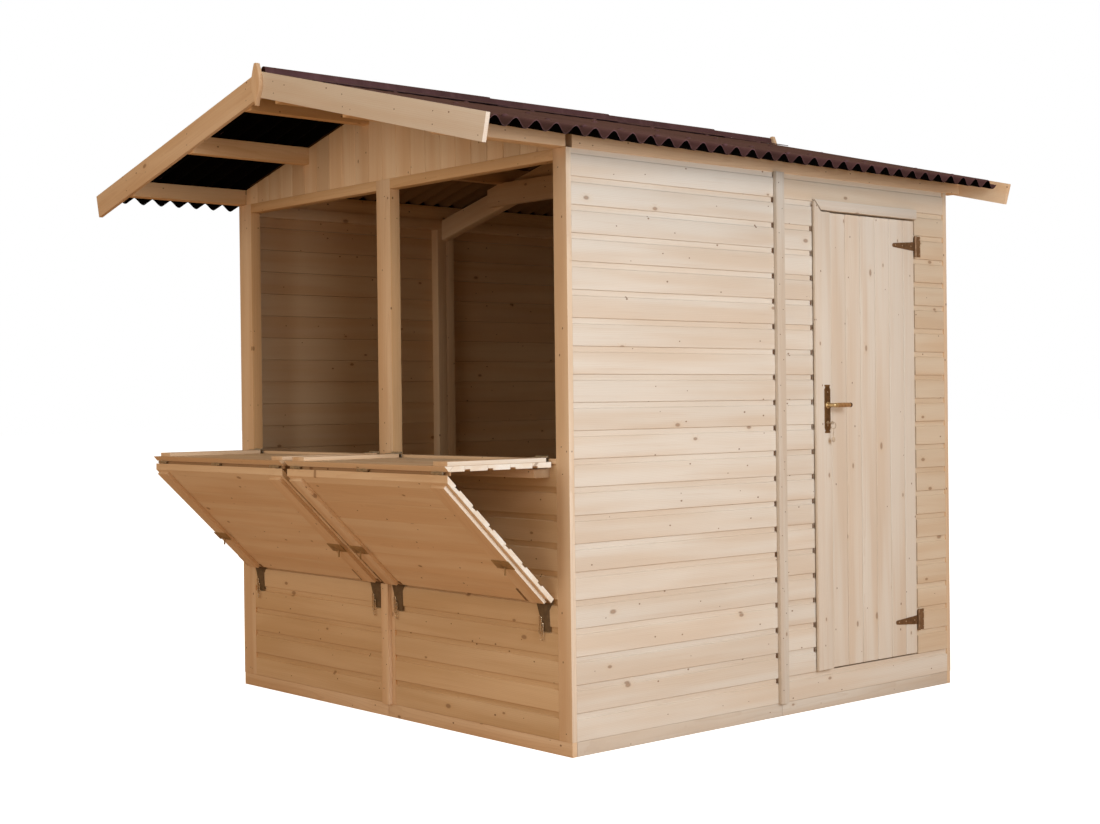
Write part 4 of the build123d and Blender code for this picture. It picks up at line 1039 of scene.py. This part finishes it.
# ======== roof covering
def corrugated(side_name, side):
    """A bitumen sheet slope with smooth round corrugations: its upper skin and edges, and its underside."""
    node = f"roof_sheet_{side_name}"
    lo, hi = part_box(node)
    down, up = slope_axes(side)
    s0, s1 = extent(node, down)
    base = extent(node, up)[0]
    count = round((hi.y - lo.y) / WAVE) * WAVE_STEPS
    n = count + 1
    verts, crest, sheet, under = [], [], [], []
    for r in range(SHEET_ROWS):
        s = s0 + (s1 - s0) * r / (SHEET_ROWS - 1)
        for skin in (1, 0):
            for i in range(n):
                w = (1 + math.sin(2 * math.pi * i / WAVE_STEPS)) / 2
                h = base + w * WAVE_RISE + skin * SHEET_THICK
                verts.append(tuple(down * s + up * h + Y * (lo.y + i * WAVE / WAVE_STEPS)))
                crest.append(w)
    for r in range(SHEET_ROWS - 1):
        a, b = r * 2 * n, (r + 1) * 2 * n
        for i in range(count):
            sheet.append((a + i, a + i + 1, b + i + 1, b + i)[::-side])
            under.append((a + n + i, b + n + i, b + n + i + 1, a + n + i + 1)[::-side])
        for i in (0, count):
            sheet.append((a + i, b + i, b + n + i, a + n + i))
    for a in (0, (SHEET_ROWS - 1) * 2 * n):
        for i in range(count):
            sheet.append((a + i, a + n + i, a + n + i + 1, a + i + 1))
    for name, faces, material in ((f"corrugated_sheet_{side_name}", sheet, MATS["roofing"]),
                                  (f"sheet_underside_{side_name}", under, UNDERSIDE)):
        mesh = bpy.data.meshes.new(name)
        mesh.from_pydata(verts, [], faces)
        set_crest(mesh, crest)
        bm = bmesh.new()
        bm.from_mesh(mesh)
        bmesh.ops.delete(bm, geom=[v for v in bm.verts if not v.link_faces], context="VERTS")
        bm.to_mesh(mesh)
        bm.free()
        finish_piece(mesh, name, node, material, 40)


corrugated("left", -1)
corrugated("right", 1)


def ridge_capping():
    """Lengths of ridge cap, each lapped over the one behind it."""
    whole = cad_solids("ridge_cap")[0]
    lo, hi = corners(whole)
    ends = [f for f in whole.faces if all(abs(v.co.y - lo.y) < 1e-4 for v in f.verts)]
    outline = [(v.co.x, v.co.z) for v in max(ends, key=lambda f: len(f.verts)).verts]
    piece = Piece("ridge_capping", "ridge_cap", "roofing", smooth=50)
    breaks = (lo.y, *CAP_JOINTS, hi.y)
    for y0, y1 in zip(breaks, breaks[1:]):
        lap, lift = (CAP_LAP, CAP_LIFT) if y1 < hi.y else (0.0, 0.0006)
        verts = [(x, y, z + rise) for y, rise in ((y0, 0.0006), (y1 + lap, lift)) for x, z in outline]
        piece.add(verts, tube(2, len(outline)), Y, X, Z, Vector((0, y0, lo.z)))
    whole.free()
    mesh = piece.build().data
    set_crest(mesh, [0.75] * len(mesh.vertices))


ridge_capping()


def roof_nails():
    """Capped nails through the crests over the purlins, on every fourth wave."""
    piece = Piece("roof_nail_caps", None, "roofing", smooth=60)
    for side, node in ((-1, "roof_sheet_left"), (1, "roof_sheet_right")):
        lo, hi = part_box(node)
        up = slope_axes(side)[1]
        for x in ROOF_NAIL_LINES:
            top = hi.z - TAN * (x - 0.008) - 0.0006
            for k in ROOF_NAIL_WAVES:
                piece.turned([(-0.002, 0.0125), (0.0012, 0.0125), (0.0040, 0.0095), (0.0062, 0.0045),
                              (0.0066, 0.001)], Vector((side * x, lo.y + (k + 0.25) * WAVE, top)), up, 14)
    mesh = piece.build("stall").data
    set_crest(mesh, [0.9] * len(mesh.vertices))


roof_nails()


def nails():
    """Nail heads in the cover strips, the barge boards and the posts."""
    piece = Piece("joinery_nails", None, "zinc_steel", NAIL, smooth=60)
    for lo, hi in solid_boxes("cover_strips"):
        out = max((X, -X, Y, -Y), key=lambda d: max(lo.dot(d), hi.dot(d)))
        k = 0 if abs(out.y) > 0.5 else 1
        row, z = 0, lo.z + 0.055
        while z < hi.z - 0.02:
            place = toward(lo, hi, out)
            place.z = z + rng.uniform(-0.006, 0.006)
            place[k] = (lo[k] + hi[k]) / 2 + (0.009 if row % 2 else -0.009)
            piece.head(place, out, STRIP_NAIL)
            row, z = row + 1, z + ROW
    low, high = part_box("barge_boards")
    for y, out in ((low.y, -Y), (high.y, Y)):
        for side in (-1, 1):
            for x in (0.0925, 0.516, 1.005):
                for drop in (0.026, 0.066):
                    z = high.z - TAN * x - drop / COS
                    piece.head((side * (x + rng.uniform(-0.004, 0.004)), y, z), out, BOARD_NAIL)
    for lo, hi in solid_boxes("front_posts"):
        for z in (0.075, 0.93, 1.02, 1.94):
            piece.head(((lo.x + hi.x) / 2 + rng.uniform(-0.01, 0.01), lo.y, z), -Y, BOARD_NAIL)
    piece.build("stall")


nails()


# ======== floor, light and camera
floor_mat = Nodes("studio_floor")
lit = floor_mat.node("LightPath").outputs["Is Camera Ray"]
floor_mat.finish(floor_mat.mix(lit, BOUNCE, (0.50, 0.50, 0.50, 1)), 0.95)
floor_mat.bsdf.inputs["Emission Color"].default_value = (1, 1, 1, 1)
floor_mat.put(floor_mat.times(lit, 1.1), floor_mat.bsdf.inputs["Emission Strength"])
mesh = bpy.data.meshes.new("studio_floor")
mesh.from_pydata([(x * FLOOR_HALF, y * FLOOR_HALF, 0) for x, y in ((-1, -1), (1, -1), (1, 1), (-1, 1))],
                 [], [(0, 1, 2, 3)])
mesh.materials.append(floor_mat.mat)
floor = place_in_scene("studio_floor", mesh)

# the sky lights warmly and shows white
world = bpy.data.worlds.new("studio")
bpy.context.scene.world = world
world.use_nodes = True
tree = world.node_tree
back = tree.nodes["Background"]
path = tree.nodes.new("ShaderNodeLightPath")
tint = tree.nodes.new("ShaderNodeMix")
tint.data_type = "RGBA"
tint.inputs[6].default_value = AMBIENT
tint.inputs[7].default_value = (1, 1, 1, 1)
tree.links.new(path.outputs["Is Camera Ray"], tint.inputs[0])
tree.links.new(tint.outputs[2], back.inputs[0])
back.inputs[1].default_value = 1.0
bpy.context.scene.view_settings.view_transform = "Standard"

for name, place, aim, width, height, power, colour in LIGHTS:
    light = bpy.data.lights.new(name, "AREA")
    light.shape, light.size, light.size_y = "RECTANGLE", width, height
    light.energy, light.color = power, colour
    lamp = place_in_scene(name, light)
    lamp.location = place
    lamp.rotation_mode = "QUATERNION"
    lamp.rotation_quaternion = (Vector(place) - Vector(aim)).to_track_quat("Z", "Y")

cam = bpy.data.cameras.new("camera")
cam.lens, cam.sensor_width = LENS, SENSOR
cam.clip_end = 200
camera = place_in_scene("camera", cam)
a, e, r = (math.radians(degrees) for degrees in (CAMERA_AZIMUTH, CAMERA_DROP, CAMERA_ROLL))
forward = Vector((-math.sin(a) * math.cos(e), math.cos(a) * math.cos(e), -math.sin(e)))
right = Vector((math.cos(a), math.sin(a), 0))
upward = right.cross(forward)
local_x = right * math.cos(r) - upward * math.sin(r)
local_y = right * math.sin(r) + upward * math.cos(r)
turn = Matrix((local_x, local_y, -forward)).transposed().to_4x4()
camera.matrix_world = Matrix.Translation(CAMERA_PLACE) @ turn
bpy.context.scene.camera = camera
